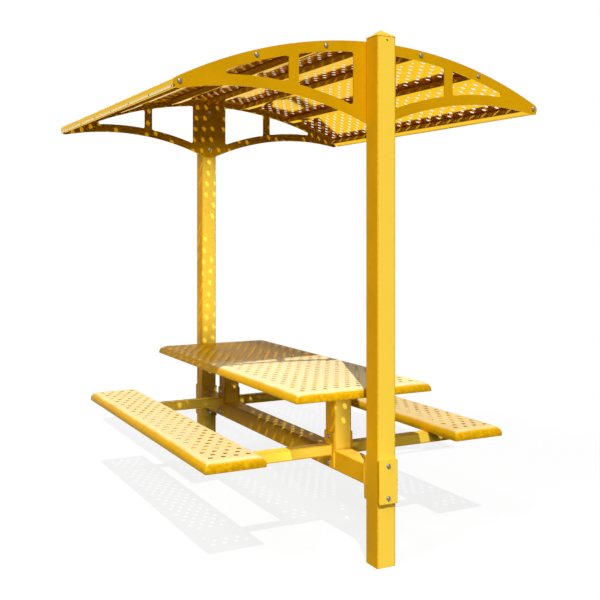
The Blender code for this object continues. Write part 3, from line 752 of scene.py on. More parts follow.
# Scale and detail of the noises in the finishes, and how far some are stretched
CLOUD, SPECK, PEBBLE, STAIN = (5.0, 4.0), (60.0, 3.0), (420.0, 2.0), (140.0, 3.0)
STREAK, SCRATCH = (26.0, 26.0, 1.6), (300.0, 300.0, 2400.0)
STREAK_SHARE, WEAR_SHARE = 0.16, 0.5    # of the edges' colour in a streak and on a worn edge
MOTTLED_SHADE = 0.7                            # brightness of the painted shade, broken into mottles, on a pan's front and back
FLANGE_SHEEN = 0.7                      # painted sheen of the eaves' flanges, 1 being that of an underside
# Metal and roughness of the painted sheen on the undersides
SHEEN_METAL, SHEEN_ROUGHNESS = 0.95, 0.06
PEBBLE_DEPTH, SCRATCH_DEPTH = 0.0006, 0.0002
GLANCE, GLANCE_TINT = 0.05, (1.0, 0.77, 0.28, 1.0)    # faint, warm shine of the coats


def paint(rgb, factor=1.0):
    """A colour for a socket, made lighter or darker."""
    return (*[min(1.0, value * factor) for value in rgb], 1.0)


def new_finish(name):
    """A finish of that name and its nodes, or the finish alone if it is there already."""
    material = bpy.data.materials.get(name)
    if material:
        return material, None
    material = bpy.data.materials.new(name)
    material.use_nodes = True
    return material, Shader(material.node_tree)


def surface(shader, inputs):
    bsdf = shader.node("ShaderNodeBsdfPrincipled", {}, inputs)
    shader.node("ShaderNodeOutputMaterial", {}, {"Surface": bsdf})


def facing(shader, axis, normal="Normal"):
    """How far a face looks along an axis, from -1 to 1."""
    return shader.part(shader.node("ShaderNodeNewGeometry", output=normal), axis)


def painted_light_tube(shader, place, cloud):
    """Painted light on a tube: on its top, its front and its back, less so on its sides."""
    across = facing(shader, "Y")
    return shader.between(across * across + facing(shader, "Z") + cloud * 0.1, 0.4, 0.9)


def eaves(shader, place):
    """The roof's folded edges."""
    x = shader.part(place, "X")
    return shader.between(x * x, 0.975, 0.985)


def flares(shader, place):
    """The lower parts of the folded edges, which lean outwards."""
    return shader.between(facing(shader, "Z", "True Normal"), 0.1, 0.2) * eaves(shader, place)


def painted_light_sheet(shader, place, cloud):
    """Where painted sunlight lies on the sheet: on faces that look up, and as a painted highlight
    on the eaves' flared lips.

    The benches get less of it than the table, and the back of the table, where the roof's shadow
    falls, gets none.
    """
    x, y, z = [shader.part(place, axis) for axis in "XYZ"]
    below = 1 - shader.between(z, 1.0, 1.1)               # everything under the roof
    seats = shader.between(x * x, 0.2, 0.3) * below       # beyond the table's long edges
    table = shader.between(z, 0.6, 0.7) * below           # higher than the seats
    shade_share = 0.2 + 0.15 * shader.between(x, 0.4, 0.5)  # painted shade's share on the benches, more on the right
    amount = shader.between(facing(shader, "Z") + cloud * 0.2, 0.8, 1.05)
    # No painted sunlight at the back of the table, in the roof's shadow
    amount = amount * (1 - seats * shade_share) * (1 - table * shader.between(y, 0.0, 0.2))
    return 1 - (1 - amount) * (1 - flares(shader, place))


def coat(name, colours, rgb, roughness, peel=0.12, blotch=0.05, painted_lit=None, painted_light_mask=None,
         painted_sheen_mask=None):
    """Baked coat: slightly cloudy and pebbled, darker on thin edges, with painted sheen below.

    Where one mask says, it takes a second colour as painted light. Its undersides carry a painted
    sheen: a paler tone as glossy metal that mirrors the white floor. Given another mask, its
    upright faces get that painted sheen where it says, and elsewhere those at the front and the
    back get painted shade, broken into mottles.
    """
    material, shader = new_finish(name)
    if shader is None:
        return material
    thinned = paint(colours.edge)
    place = shader.node("ShaderNodeTexCoord", output="Object")
    worn = shader.node("ShaderNodeAttribute", {"attribute_name": "edge"}, output="Fac")
    cloud, speck, pebble = [shader.noise(place, *size) for size in (CLOUD, SPECK, PEBBLE)]
    streak = shader.noise(shader.stretched(place, STREAK), 1.0, 3.0)
    tone = shader.mix(shader.between(cloud, 0.3, 0.7), paint(rgb, 0.94), paint(rgb, 1.04))
    tone = shader.mix(shader.between(speck, 0.45, 0.75) * blotch, tone, thinned)
    tone = shader.mix(shader.between(streak, 0.56, 0.8) * STREAK_SHARE, tone, thinned)
    # Painted light: the paler colour laid where the mask says
    if painted_light_mask:
        tone = shader.mix(painted_light_mask(shader, place, cloud), tone, paint(painted_lit))
    thin = shader.between(worn + speck * 0.7, 0.95, 1.45)
    tone = shader.mix(thin * WEAR_SHARE, tone, thinned)
    # Painted sheen: downward faces turn a paler, glossy metal that mirrors the white floor
    gloss = shader.between(0 - facing(shader, "Z"), 0.5, 0.8)
    if painted_sheen_mask:
        # Smooth is the mask of the painted sheen on the eave flanges
        across, smooth = facing(shader, "Y"), painted_sheen_mask(shader, place)
        # Painted shade on the front and back faces, broken into mottles
        shaded_ends = shader.between(across * across, 0.3, 0.8) * (1 - smooth)
        tone = shader.mix(shaded_ends * shader.between(speck, 0.25, 0.65), tone, paint(rgb, MOTTLED_SHADE))
        # Painted sheen on the eave flanges as well, but not on their flared lips
        gloss = 1 - (1 - gloss) * (1 - smooth * FLANGE_SHEEN * (1 - flares(shader, place)))
    tone = shader.mix(gloss, tone, paint(colours.gloss))
    rough = speck * 0.16 + cloud * 0.10 + thin * 0.12 + (roughness - 0.13)
    rough = rough * (1 - gloss) + gloss * (SHEEN_ROUGHNESS + speck * 0.06)
    grain = (pebble + speck * 0.5) * (1 - gloss * 0.9)
    bump = shader.node("ShaderNodeBump", {}, {"Height": grain, "Strength": peel,
                                              "Distance": PEBBLE_DEPTH})
    surface(shader, {"Base Color": tone, "Roughness": rough, "Metallic": gloss * SHEEN_METAL,
                     "Normal": bump, "Specular IOR Level": GLANCE, "Specular Tint": GLANCE_TINT})
    return material


def steel(name, rgb, roughness):
    """Bare metal with fine turning marks and a little staining."""
    material, shader = new_finish(name)
    if shader is None:
        return material
    place = shader.node("ShaderNodeTexCoord", output="Object")
    stain = shader.noise(place, *STAIN)
    scratch = shader.noise(shader.stretched(place, SCRATCH), 1.0, 2.0)
    tone = shader.mix(shader.between(stain, 0.4, 0.75), paint(rgb), paint(rgb, 0.72))
    bump = shader.node("ShaderNodeBump", {}, {"Height": scratch, "Strength": 0.10,
                                              "Distance": SCRATCH_DEPTH})
    surface(shader, {"Base Color": tone, "Roughness": stain * 0.22 + scratch * 0.10 + roughness,
                     "Metallic": 1.0, "Normal": bump})
    return material


def tube_coat(scene, part, roughness):
    """Powder coat of the tubes, with painted light on their tops, fronts and backs."""
    colours = scene.picnic_coat
    material = coat(part + "_powder_coat", colours, colours.tube, roughness,
                    painted_lit=colours.painted_lit_tube, painted_light_mask=painted_light_tube)
    return Finish(material, part + "_coat")


def post_coat(scene):
    return tube_coat(scene, "post", 0.42)


def frame_coat(scene):
    return tube_coat(scene, "frame", 0.46)


def arch_coat(scene):
    colours = scene.picnic_coat
    material = coat("arch_powder_coat", colours, colours.arch, 0.5, peel=0.15, blotch=0.25)
    return Finish(material, "arch_coat")


def sheet_coat(scene):
    colours = scene.picnic_coat
    # Painted sunlight on the tops, painted sheen on the undersides and the eave flanges
    material = coat("sheet_plastic_coat", colours, colours.sheet, 0.42, peel=0.2, blotch=0.45,
                    painted_lit=colours.painted_lit_sheet, painted_light_mask=painted_light_sheet, painted_sheen_mask=eaves)
    return Finish(material, "sheet_coat")


def bright_steel(scene):
    return Finish(steel("stainless_steel", scene.picnic_coat.steel, 0.2), "stainless")


def dark_steel(scene):
    return Finish(steel("dark_screw_steel", scene.picnic_coat.screw, 0.4), "stainless")


# Operators

class PICNIC_OT_posts(Operator):
    """Make the posts, their caps and the screws that hold the caps"""
    bl_idname = "picnic.posts"
    bl_label = "Posts and caps"

    def execute(self, context):
        for end, sign in ENDS.items():
            self.make_post(context.scene, end)
            self.make_cap(context.scene, end)
            self.make_screw(context.scene, end, sign)
        return {"FINISHED"}

    def make_post(self, scene, end):
        tubes = scene.picnic_tubes
        low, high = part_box(end + "_post")
        half = (high.x - low.x) / 2
        bore = rounded_square(half - tubes.wall, tubes.bore_corner, steps=4)
        add_solid(end + "_post_tube", post_coat(scene), [end + "_post"],
                  rounded_square(half, tubes.corner), low.z, high.z, upright((low + high) / 2),
                  ease=0.0006, holes=[bore], support=0)

    def make_cap(self, scene, end):
        """Pyramid with a lip and softened ridges."""
        tubes = scene.picnic_tubes
        low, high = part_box(end + "_post_cap")
        half, rise = (high.x - low.x) / 2, tubes.cap_rise
        base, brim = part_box(end + "_post")[1].z + SEAT_GAP, high.z - rise
        place = upright((low + high) / 2)
        # Share of the full width, and height, from the foot of the lip to the pyramid's tip
        rows = [(0.990, base), (1, base + 0.0005), (1, brim - 0.0009), (0.996, brim - 0.0003)]
        rows += [(0.984, brim), (0.94, brim + 0.044 * rise)]
        rows += [(share, high.z - share * rise) for share in (0.6, 0.3, 0.12)]
        rows += [(0.06, high.z - 0.0018), (0.03, high.z - 0.0006)]
        mesh = new_mesh()
        rims = []
        for share, z in rows:
            flat = rounded_square(half * share, tubes.corner * share)
            on_lip = base < z < brim + 0.0001
            rims.append(rim(mesh, flat, place, z, 1.0 if on_lip else bends(flat)))
        loft(mesh, [loop for _, loop in rims])
        fill(mesh, rims[:1])
        fan(mesh, rims[-1][1], place(Vector((0, 0)), high.z))
        add_body(end + "_cap_pyramid", mesh, post_coat(scene), [end + "_post_cap"])

    def make_screw(self, scene, end, sign):
        """A screw in the post's outer face, just under the cap."""
        low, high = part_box(end + "_post")
        face, shift, drop = low.y if sign < 0 else high.y, 0.003, 0.017
        spin = along_y(Vector((shift, 0, high.z - drop)))
        mesh = new_mesh()
        lathe(mesh, CAP_SCREW, lambda point, height: spin(point, face + sign * height), sides=24)
        add_body(end + "_cap_screw", mesh, dark_steel(scene))


class PICNIC_OT_arches(Operator):
    """Make the two arch plates with their windows"""
    bl_idname = "picnic.arches"
    bl_label = "Arch plates"

    def execute(self, context):
        form = arch_form(context.scene)
        for end in ENDS:
            low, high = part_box(end + "_arch")
            add_solid(end + "_arch_plate", arch_coat(context.scene), [end + "_arch"],
                      form.outline(), low.y, high.y, along_y(Vector()),
                      ease=0.0010, holes=form.windows(), support=0.005)
        return {"FINISHED"}


class PICNIC_OT_purlins(Operator):
    """Make the square tubes that run between the arches"""
    bl_idname = "picnic.purlins"
    bl_label = "Purlins"

    def execute(self, context):
        scene = context.scene
        tubes = scene.picnic_tubes
        outline = rounded_square(tubes.purlin_side / 2, tubes.corner, steps=5)
        low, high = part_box("purlin_inner_left")
        for name, (center, tilt) in zip(PURLINS, arch_form(scene).purlins()):
            nodes = ["purlin_" + name] if name != RIDGE else []
            add_solid("purlin_tube_" + name, frame_coat(scene), nodes, outline, low.y, high.y,
                      along_y(Vector((center.x, 0, center.y)), tilt))
        return {"FINISHED"}


class PICNIC_OT_roof(Operator):
    """Make the perforated roof panels and the rivets that hold them"""
    bl_idname = "picnic.roof"
    bl_label = "Roof panels"

    def execute(self, context):
        scene = context.scene
        self.tubes, self.sheet = scene.picnic_tubes, scene.picnic_sheet
        self.hardware = scene.picnic_hardware
        places = arch_form(scene).purlins()
        for index, (name, across) in enumerate(PANEL_HOLES.items()):
            left, right = places[index], places[index + 1]
            section, flat = self.section(left, right), 1
            if index == 0:
                fold = self.fold(left, -1)
                section, flat = fold + section[1:], len(fold)
            if index == len(PANEL_HOLES) - 1:
                section = section[:-1] + self.fold(right, 1)[::-1]
            self.make_panel(scene, name, section, flat, across)
        self.make_rivets(scene, places)
        return {"FINISHED"}

    def seat(self, place, across, lift=0.0):
        """A point on a purlin's top, a distance across it from its middle."""
        center, tilt = place
        along = Vector((math.cos(tilt), -math.sin(tilt)))
        normal = Vector((math.sin(tilt), math.cos(tilt)))
        return center + normal * (self.tubes.purlin_side / 2 + SEAT_GAP + lift) + along * across

    def section(self, left, right):
        """Underside of a panel from one purlin to the next."""
        half, joint = self.tubes.purlin_side / 2, self.sheet.joint
        return [self.seat(left, joint), self.seat(left, half),
                self.seat(right, -half), self.seat(right, -joint)]

    def fold(self, place, side):
        """The panel's edge over the eave purlin, from its lower edge to the top of the bend."""
        sheet, steps = self.sheet, 5
        bend, reach = sheet.bend, self.tubes.purlin_side / 2 + SEAT_GAP
        hub = self.seat(place, side * (reach - bend), -bend)
        lean = math.pi / 2 - abs(place[1]) + FLANGE_LEAN
        points = []
        for step in range(steps + 1):
            turn = place[1] + side * lean * (1 - step / steps)
            points.append(hub + bend * Vector((math.sin(turn), math.cos(turn))))
        inwards = Vector((-side * math.sin(FLANGE_LEAN), -math.cos(FLANGE_LEAN)))
        outwards = Vector((side * math.sin(FLARE_LEAN), -math.cos(FLARE_LEAN)))
        down = points[0] + sheet.flange * inwards
        return [down + sheet.flare * outwards, down] + points

    def make_panel(self, scene, name, section, flat, across):
        """A panel along its section, whose part number flat is the perforated one."""
        node = "roof_panel_crown" if "crown" in name else "roof_panel_" + name
        low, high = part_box(node)
        mesh = new_mesh()
        front, back = [add_loop(mesh, [Vector((p.x, y, p.y)) for p in section])
                       for y in (low.y, high.y)]
        for i in range(len(section) - 1):
            if i != flat:
                mesh.faces.new((front[i], front[i + 1], back[i + 1], back[i]))
        start, end = section[flat], section[flat + 1]
        middle, run = (start + end) / 2, (end - start).normalized()
        half, depth = (end - start).length / 2, (high.y - low.y) / 2

        def place(point):
            spot = middle + run * point.x
            return Vector((spot.x, point.y, spot.y))

        corners = [Vector(corner) for corner in ((-half, -depth), (half, -depth), (half, depth),
                                                 (-half, depth))]
        border = (corners, [front[flat], front[flat + 1], back[flat + 1], back[flat]])
        rows = hole_rows(self.sheet, 2 * depth)
        perforate(mesh, border, staggered(across, rows, self.sheet.hole_pitch), self.sheet, place)
        add_sheet("roof_sheet_" + name, mesh, self.sheet.roof_gauge, 1, sheet_coat(scene), [node],
                  folds=True)

    def make_rivets(self, scene, places):
        """Rivets through each panel edge into the purlin under it, and along the eaves."""
        sizes, gauge = self.hardware, self.sheet.roof_gauge
        profile = [(share * sizes.rivet / 2, height) for share, height in RIVET]
        runs = [sizes.rivet_spacing * (i - (sizes.rivets - 1) / 2) - sizes.rivet_shift
                for i in range(sizes.rivets)]
        for name, place in zip(PURLINS, places):
            tilt, side = place[1], -1 if place[0].x < 0 else 1
            rows = (-side,) if "eave" in name else (-1, 1)
            spots = [(self.seat(place, row * sizes.rivet_inset, gauge), tilt) for row in rows]
            if "eave" in name:
                flare, down = self.fold(place, side)[:2]
                spots.append((flare.lerp(down, EAVE_RIVETS) + Vector((side * gauge, 0)),
                              side * (math.pi / 2 - FLARE_LEAN)))
            mesh = new_mesh()
            for spot, lean in spots:
                out = Vector((math.sin(lean), 0, math.cos(lean)))
                run = Vector((out.z, 0, -out.x))
                for y in runs:
                    base = Vector((spot.x, y, spot.y))
                    lathe(mesh, profile, lambda point, height: (
                        base + run * point.x + Vector((0, point.y, 0)) + out * height), sides=16)
            add_body("rivets_" + name, mesh, dark_steel(scene))


class PICNIC_OT_pans(Operator):
    """Make the table top and the benches, with their welded corners"""
    bl_idname = "picnic.pans"
    bl_label = "Table and benches"

    def execute(self, context):
        scene = context.scene
        self.make_pan(scene, "table_top", TABLE_HOLES)
        for side in SIDES:
            self.make_pan(scene, "bench_" + side, BENCH_HOLES)
        return {"FINISHED"}

    def profile(self, sheet, depth):
        """A pan's edge from its flat top over the shoulder and the skirt to the lip."""
        rows = [(sheet.shoulder + sheet.rim, 0.0)]
        rows += [(sheet.shoulder * (1 - math.sin(a)), sheet.shoulder_drop * (math.cos(a) - 1))
                 for a in quarter(10)]
        rows += [(sheet.hem * (1 - math.cos(a)), -depth + sheet.hem * (1 - math.sin(a)))
                 for a in quarter(4)]
        return rows + [(sheet.lip, -depth)]

    def corner(self, sheet, inset):
        """Rounding of a pan's corner, which grows towards the top."""
        return sheet.corner + CORNER_GROWTH * inset

    def make_pan(self, scene, node, across):
        sheet = scene.picnic_sheet
        low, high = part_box(node)
        center, half_x, half_y = (low + high) / 2, (high.x - low.x) / 2, (high.y - low.y) / 2
        place = upright(center)
        rows = self.profile(sheet, high.z - low.z)
        mesh = new_mesh()
        rims = []
        for inset, z in rows:
            flat = rounded_rectangle(half_x - inset, half_y - inset, self.corner(sheet, inset),
                                     steps=5)
            on_shoulder = 0 > z > -sheet.shoulder_drop
            rims.append(rim(mesh, flat, place, high.z + z, SHOULDER_WEAR if on_shoulder else 0.0))
        loft(mesh, [loop for _, loop in rims])
        count = hole_rows(sheet, 2 * (half_y - sheet.shoulder))
        perforate(mesh, rims[0], staggered(across, count, sheet.hole_pitch), sheet,
                  lambda point: place(point, high.z))
        add_sheet(node + "_sheet", mesh, sheet.pan_gauge, -1, sheet_coat(scene), [node])
        self.make_seams(scene, node, rows, center, (half_x, half_y, high.z))

    def make_seams(self, scene, node, rows, center, sizes):
        """Fine seams where the skirts meet, from the hem to the start of the shoulder."""
        sheet = scene.picnic_sheet
        half_x, half_y, top = sizes
        seam = [(inset, z) for inset, z in rows if z < -SEAM_START * sheet.shoulder_drop][:-3]
        sunk = 0.0007                   # how far a seam's middle lies inside the corner
        mesh = new_mesh()
        for sign_x in (-1, 1):
            for sign_y in (-1, 1):
                path = []
                for inset, z in seam:
                    cut = inset + self.corner(sheet, inset) * (1 - math.sqrt(0.5)) + sunk
                    path.append(Vector((center.x + sign_x * (half_x - cut),
                                        center.y + sign_y * (half_y - cut), top + z)))
                bead(mesh, path, sheet.corner_seam, sheet.seam_ripple,
                     Vector((sign_x, sign_y, 0)).normalized(), closed=False)
        if node == "table_top":
            for sign_x in (-1, 1):
                path = [Vector((center.x + sign_x * (half_x - inset), TABLE_SEAM, top + z))
                        for inset, z in seam]
                bead(mesh, path, sheet.skirt_seam, sheet.seam_ripple, Vector((sign_x, 0, 0)),
                     closed=False)
        add_body(node + "_corner_seams", mesh, sheet_coat(scene))


def beam_axis(tubes):
    """Middle of the spine beam's section, whose top is level with the middle of the seat arms."""
    low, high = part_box("front_arm_left")
    return Vector((0, 0, (low.z + high.z) / 2 - tubes.frame_side / 2))


class PICNIC_OT_frame(Operator):
    """Make the spine beam, clamp plates, pedestals, seat arms and rails"""
    bl_idname = "picnic.frame"
    bl_label = "Frame"

    def execute(self, context):
        scene = context.scene
        self.make_beam(scene)
        for end in ENDS:
            self.make_clamp(scene, end)
            self.make_pedestal(scene, end)
            self.make_rail(scene, end + "_table_rail")
            for side, sign in SIDES.items():
                self.make_arm(scene, end, side, sign)
                self.make_rail(scene, f"{end}_bench_rail_{side}")
        return {"FINISHED"}

    def make_beam(self, scene):
        tubes, coating, nodes = scene.picnic_tubes, frame_coat(scene), ["spine_beam"]
        low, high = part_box("spine_beam")
        add_solid("beam_tube", coating, nodes, rounded_square(tubes.frame_side / 2, tubes.corner),
                  low.y + tubes.end_plate, high.y - tubes.end_plate, along_y(beam_axis(tubes)))
        outline = rounded_rectangle((high.x - low.x) / 2, (high.z - low.z) / 2, tubes.plate_corner)
        middle = Vector((0, 0, (low.z + high.z) / 2))
        for end, y in (("front", low.y), ("rear", high.y - tubes.end_plate)):
            add_solid("beam_plate_" + end, coating, nodes, outline, y, y + tubes.end_plate,
                      along_y(middle), ease=0.0015, support=0.002)

    def make_clamp(self, scene, end):
        low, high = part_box(end + "_clamp_plate")
        outline = rounded_rectangle((high.x - low.x) / 2, (high.z - low.z) / 2,
                                    scene.picnic_tubes.plate_corner)
        add_solid(end + "_clamp_block", post_coat(scene), [end + "_clamp_plate"], outline,
                  low.y, high.y, along_y((low + high) / 2), ease=0.0022, support=0.002)

    def make_pedestal(self, scene, end):
        tubes, coating, nodes = scene.picnic_tubes, frame_coat(scene), [end + "_pedestal"]
        low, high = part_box(end + "_pedestal")
        place, foot = upright((low + high) / 2), high.z - tubes.plate
        add_solid(end + "_pedestal_tube", coating, nodes,
                  rounded_square(tubes.frame_side / 2, tubes.corner), low.z, foot, place)
        add_solid(end + "_pedestal_plate", coating, nodes,
                  rounded_square((high.x - low.x) / 2, tubes.corner), foot, high.z, place)

    def make_arm(self, scene, end, side, sign):
        tubes, coating, node = scene.picnic_tubes, frame_coat(scene), f"{end}_arm_{side}"
        low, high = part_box(node)
        place = along_x((low + high) / 2)
        flange = (low.x, low.x + tubes.plate) if sign > 0 else (high.x - tubes.plate, high.x)
        tube = (flange[1], high.x) if sign > 0 else (low.x, flange[0])
        add_solid(f"{end}_arm_tube_{side}", coating, [node],
                  rounded_square(tubes.arm_side / 2, tubes.corner), *tube, place, ease=0.0016)
        outline = rounded_rectangle((high.y - low.y) / 2, (high.z - low.z) / 2, tubes.corner)
        add_solid(f"{end}_arm_flange_{side}", coating, [node], outline, *flange, place)

    def make_rail(self, scene, node):
        """A channel that opens downwards, with rounded bends."""
        tubes = scene.picnic_tubes
        low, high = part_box(node)
        half, rise, wall = (high.y - low.y) / 2, (high.z - low.z) / 2, tubes.rail_wall
        section = [Vector(p) for p in (
            (half, -rise), (half, rise), (-half, rise), (-half, -rise), (wall - half, -rise),
            (wall - half, rise - wall), (half - wall, rise - wall), (half - wall, -rise))]
        add_solid(node + "_channel", frame_coat(scene), [node], fillet(section, tubes.rail_corner),
                  low.x, high.x, along_x((low + high) / 2), ease=0.0004, support=0)


BEAD_RISE = 0.0008                      # a bead's middle over the plate beside it
FOOT_RISE = 0.0025                      # over the beam, at a pedestal's foot
BEAD_PROUD = 0.0004                     # a bead's middle outside the tube's face


class PICNIC_OT_welds(Operator):
    """Make the weld beads of the beam, the pedestals and the seat arms"""
    bl_idname = "picnic.welds"
    bl_label = "Welds"

    def execute(self, context):
        scene = context.scene
        tubes = scene.picnic_tubes
        side, beam = tubes.frame_side / 2, along_y(beam_axis(tubes))
        along, across, up = Vector((0, 1, 0)), Vector((1, 0, 0)), Vector((0, 0, 1))
        low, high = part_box("spine_beam")
        inset = tubes.end_plate + BEAD_RISE
        self.make_bead(scene, "weld_beam_front", side, beam, low.y + inset, along)
        self.make_bead(scene, "weld_beam_rear", side, beam, high.y - inset, along)
        for end in ENDS:
            low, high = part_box(end + "_pedestal")
            place, top = upright((low + high) / 2), high.z - tubes.plate - BEAD_RISE
            self.make_bead(scene, f"weld_pedestal_foot_{end}", side, place,
                           low.z + FOOT_RISE, up)
            self.make_bead(scene, f"weld_pedestal_top_{end}", side, place, top, up)
            for name, sign in SIDES.items():
                low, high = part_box(f"{end}_arm_{name}")
                root = low.x + tubes.plate if sign > 0 else high.x - tubes.plate
                self.make_bead(scene, f"weld_arm_{end}_{name}", tubes.arm_side / 2,
                               along_x((low + high) / 2), root + sign * BEAD_RISE, across)
        return {"FINISHED"}

    def make_bead(self, scene, name, half, place, height, up):
        """A bead around a square tube, at a height along it."""
        tubes = scene.picnic_tubes
        path = [place(p, height) for p in rounded_square(half + BEAD_PROUD, tubes.corner)]
        mesh = new_mesh()
        bead(mesh, path, tubes.bead, tubes.ripple, up)
        add_body(name, mesh, frame_coat(scene))


class PICNIC_OT_bolts(Operator):
    """Make the domed bolts and the cap nuts"""
    bl_idname = "picnic.bolts"
    bl_label = "Bolts and nuts"

    def execute(self, context):
        scene, x, y = context.scene, 0, 1
        for end, sign in ENDS.items():
            for purlin in PURLINS:
                if purlin != RIDGE:
                    self.make_bolt(scene, f"{end}_bolt_{purlin}", y, -sign, nut=False)
            for height in ("low", "high"):
                self.make_bolt(scene, f"{end}_web_bolt_{height}", y, sign, nut=False)
                self.make_bolt(scene, f"{end}_clamp_bolt_{height}", y, -sign, nut=True)
                self.make_bolt(scene, f"{end}_arm_bolt_{height}", x, 1, nut=True)
        return {"FINISHED"}

    def make_bolt(self, scene, node, axis, way, nut):
        """A bolt whose head is at the near end of its way along an axis."""
        sizes = scene.picnic_hardware
        low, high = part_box(node)
        start = low[axis] if way > 0 else high[axis]
        span = high[axis] - low[axis]
        spin = (along_x, along_y)[axis]((low + high) / 2)

        def place(point, height):
            return spin(point, start + way * height)

        head, shank, dome = sizes.head / 2, sizes.shank / 2, sizes.dome
        end = span - (dome + SEAT_GAP if nut else 0)
        crown = dome - HEAD_RIM
        profile = [(0, 0)]
        profile += [(head * math.sin(a), crown * (1 - math.cos(a))) for a in quarter(8)[1:]]
        profile += [(head, dome - HEAD_EASE[1]), (head - HEAD_EASE[0], dome), (shank, dome)]
        profile += [(shank, end - BOLT_POINT[1]), (shank - BOLT_POINT[0], end), (0, end)]
        mesh = new_mesh()
        lathe(mesh, profile, place)
        add_body(node + "_stainless", mesh, bright_steel(scene), [node])
        if nut:
            self.make_nut(scene, node, place, span)

    def make_nut(self, scene, node, place, span):
        """A hexagon nut with a domed cap, at the far end of a bolt."""
        sizes = scene.picnic_hardware
        flat, seat = sizes.nut / 2, span - sizes.dome
        width, foot = NUT_DOME

        def hexagon(angle, row):
            if row > 1:
                return 1
            return 1 / math.cos((angle + math.pi / 6) % (math.pi / 3) - math.pi / 6)

        profile = [(flat * share, seat + height) for share, height in NUT]
        profile += [(flat * width * math.cos(a), seat + foot + (sizes.dome - foot) * math.sin(a))
                    for a in quarter(6)[:-1]] + [(0, span)]
        mesh = new_mesh()
        lathe(mesh, profile, place, sides=36, shape=hexagon)
        add_body(node.replace("bolt", "nut"), mesh, bright_steel(scene))


KEY_WAY, FILL_WAY, SIDE_WAY = (0.249, 0.578, -0.777), (0.12, 0.96, -0.24), (0.64, 0.2, -0.74)
REAR_LAMP = Lamp(Vector((-1.9, -1.6, 1.72)), Vector((0, 1.07, 1.48)), math.radians(23))
FRONT_LAMP = Lamp(Vector((-1.25, -3.3, 0.45)), Vector((-0.15, -0.75, 0.55)), math.radians(9))
LAMP_RADIUS, LAMP_BLEND = 0.15, 0.35
FLOOR_RADII, FLOOR_SIDES, FLOOR_DROP = (60.0, 6.0), 96, 0.0005
FLOOR_BOUNCE = 0.08                     # of the floor's colour, in the light that it throws back
FLOOR_GLOW = 0.85                       # of the floor that is plain white; the rest takes shadow
EYE, EYE_TURN = (-2.297, -4.7183, 1.5802), math.radians(-27.416)
FILM, FILM_SHIFT = 36.0, -0.1182
WHITE = (1, 1, 1, 1)


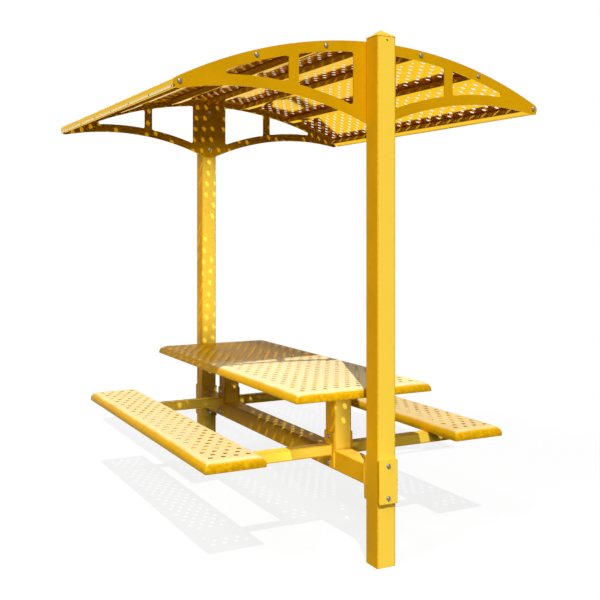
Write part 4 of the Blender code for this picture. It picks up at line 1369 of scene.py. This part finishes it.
class PICNIC_OT_stage(Operator):
    """Make the floor, the light and the view"""
    bl_idname = "picnic.stage"
    bl_label = "Stage"

    def execute(self, context):
        scene, stage = context.scene, context.scene.picnic_stage
        self.make_floor(scene, stage)
        self.make_sky(scene, stage)
        self.make_light(scene, "key_light", stage.key, stage.key_size, KEY_WAY)
        self.make_light(scene, "fill_light", stage.fill, stage.fill_size, FILL_WAY)
        self.make_light(scene, "side_light", stage.side, stage.fill_size, SIDE_WAY)
        self.make_lamp(scene, "rear_lamp", stage.rear, REAR_LAMP)
        self.make_lamp(scene, "front_lamp", stage.front, FRONT_LAMP)
        self.make_view(scene, stage)
        scene.view_settings.view_transform = "Standard"
        return {"FINISHED"}

    def seen(self, shader):
        """1 where the floor or the sky is seen, also in gloss, and 0 where it only gives light."""
        depth = shader.node("ShaderNodeLightPath", output="Diffuse Depth")
        spread = shader.between(depth, 0.0, 1.0)
        gloss = shader.node("ShaderNodeLightPath", output="Is Glossy Ray") * (1 - spread)
        return shader.node("ShaderNodeLightPath", output="Is Camera Ray") + gloss

    def make_floor(self, scene, stage):
        mesh = new_mesh()
        place = upright(Vector((0, 0)))
        outer, inner = [rim(mesh, ring((0, 0), radius, FLOOR_SIDES), place, -FLOOR_DROP)
                        for radius in FLOOR_RADII]
        loft(mesh, [outer[1], inner[1]])
        fill(mesh, [inner])
        floor = bpy.data.objects.new("floor", hand_over("floor", mesh))
        scene.collection.objects.link(floor)
        material, shader = new_finish("plain_floor")
        if shader:
            seen = self.seen(shader)
            tone = shader.mix(seen, paint(stage.floor, FLOOR_BOUNCE), paint(stage.floor))
            plain = shader.node("ShaderNodeBsdfDiffuse", {}, {"Color": tone})
            white = shader.node("ShaderNodeEmission", {}, {"Color": WHITE, "Strength": 1.0})
            mixed = shader.node("ShaderNodeMixShader", {},
                                {0: seen * FLOOR_GLOW, 1: plain, 2: white})
            shader.node("ShaderNodeOutputMaterial", {}, {"Surface": mixed})
        floor.data.materials.append(material)

    def make_sky(self, scene, stage):
        scene.world = bpy.data.worlds.new("plain_sky")
        scene.world.use_nodes = True
        shader = Shader(scene.world.node_tree)
        strength = self.seen(shader) * (1 - stage.sky) + stage.sky
        white = shader.node("ShaderNodeBackground", {}, {"Color": WHITE, "Strength": strength})
        shader.node("ShaderNodeOutputWorld", {}, {"Surface": white})

    def make_light(self, scene, name, strength, size, way):
        """A far light that shines along a way and fills an angle of the sky."""
        data = bpy.data.lights.new(name, "SUN")
        data.energy, data.angle = strength, size
        light = bpy.data.objects.new(name, data)
        light.rotation_euler = Vector(way).to_track_quat("-Z", "Y").to_euler()
        scene.collection.objects.link(light)

    def make_lamp(self, scene, name, power, lamp):
        """A soft lamp that lifts a part in the shade."""
        data = bpy.data.lights.new(name, "SPOT")
        data.energy, data.shadow_soft_size = power, LAMP_RADIUS
        data.spot_size, data.spot_blend = lamp.cone, LAMP_BLEND
        light = bpy.data.objects.new(name, data)
        light.location = lamp.place
        light.rotation_euler = (lamp.target - lamp.place).to_track_quat("-Z", "Y").to_euler()
        light.visible_camera = False
        scene.collection.objects.link(light)

    def make_view(self, scene, stage):
        """Level view from the left of the front post, at eye height."""
        lens = bpy.data.cameras.new("eye_level_view")
        lens.lens, lens.sensor_width, lens.shift_y = stage.lens, FILM, FILM_SHIFT
        view = bpy.data.objects.new("eye_level_view", lens)
        view.location = EYE
        view.rotation_euler = (math.pi / 2, 0, EYE_TURN)
        scene.collection.objects.link(view)
        scene.camera = view


# Panel and registration

SETTINGS = {
    "picnic_sheet": PICNIC_PG_sheet,
    "picnic_arch": PICNIC_PG_arch,
    "picnic_tubes": PICNIC_PG_tubes,
    "picnic_hardware": PICNIC_PG_hardware,
    "picnic_coat": PICNIC_PG_coat,
    "picnic_stage": PICNIC_PG_stage,
}
OPERATORS = (PICNIC_OT_posts, PICNIC_OT_arches, PICNIC_OT_purlins, PICNIC_OT_roof, PICNIC_OT_pans,
             PICNIC_OT_frame, PICNIC_OT_welds, PICNIC_OT_bolts, PICNIC_OT_stage)


class PICNIC_PT_sidebar(Panel):
    """Settings and pieces of the picnic table"""
    bl_idname = "PICNIC_PT_sidebar"
    bl_label = "Picnic table"
    bl_space_type = "VIEW_3D"
    bl_region_type = "UI"
    bl_category = "Picnic table"

    def draw(self, context):
        for operator in OPERATORS:
            self.layout.operator(operator.bl_idname)
        for name, group in SETTINGS.items():
            box = self.layout.box()
            box.label(text=group.__doc__)
            for setting in group.__annotations__:
                box.prop(getattr(context.scene, name), setting)


CLASSES = (*SETTINGS.values(), *OPERATORS, PICNIC_PT_sidebar)


def register():
    for cls in CLASSES:
        bpy.utils.register_class(cls)
    for name, group in SETTINGS.items():
        setattr(bpy.types.Scene, name, PointerProperty(type=group))


def unregister():
    for name in SETTINGS:
        delattr(bpy.types.Scene, name)
    for cls in reversed(CLASSES):
        bpy.utils.unregister_class(cls)


def main():
    register()
    for operator in OPERATORS:
        group, name = operator.bl_idname.split(".")
        getattr(getattr(bpy.ops, group), name)()


if __name__ == "__main__":
    main()
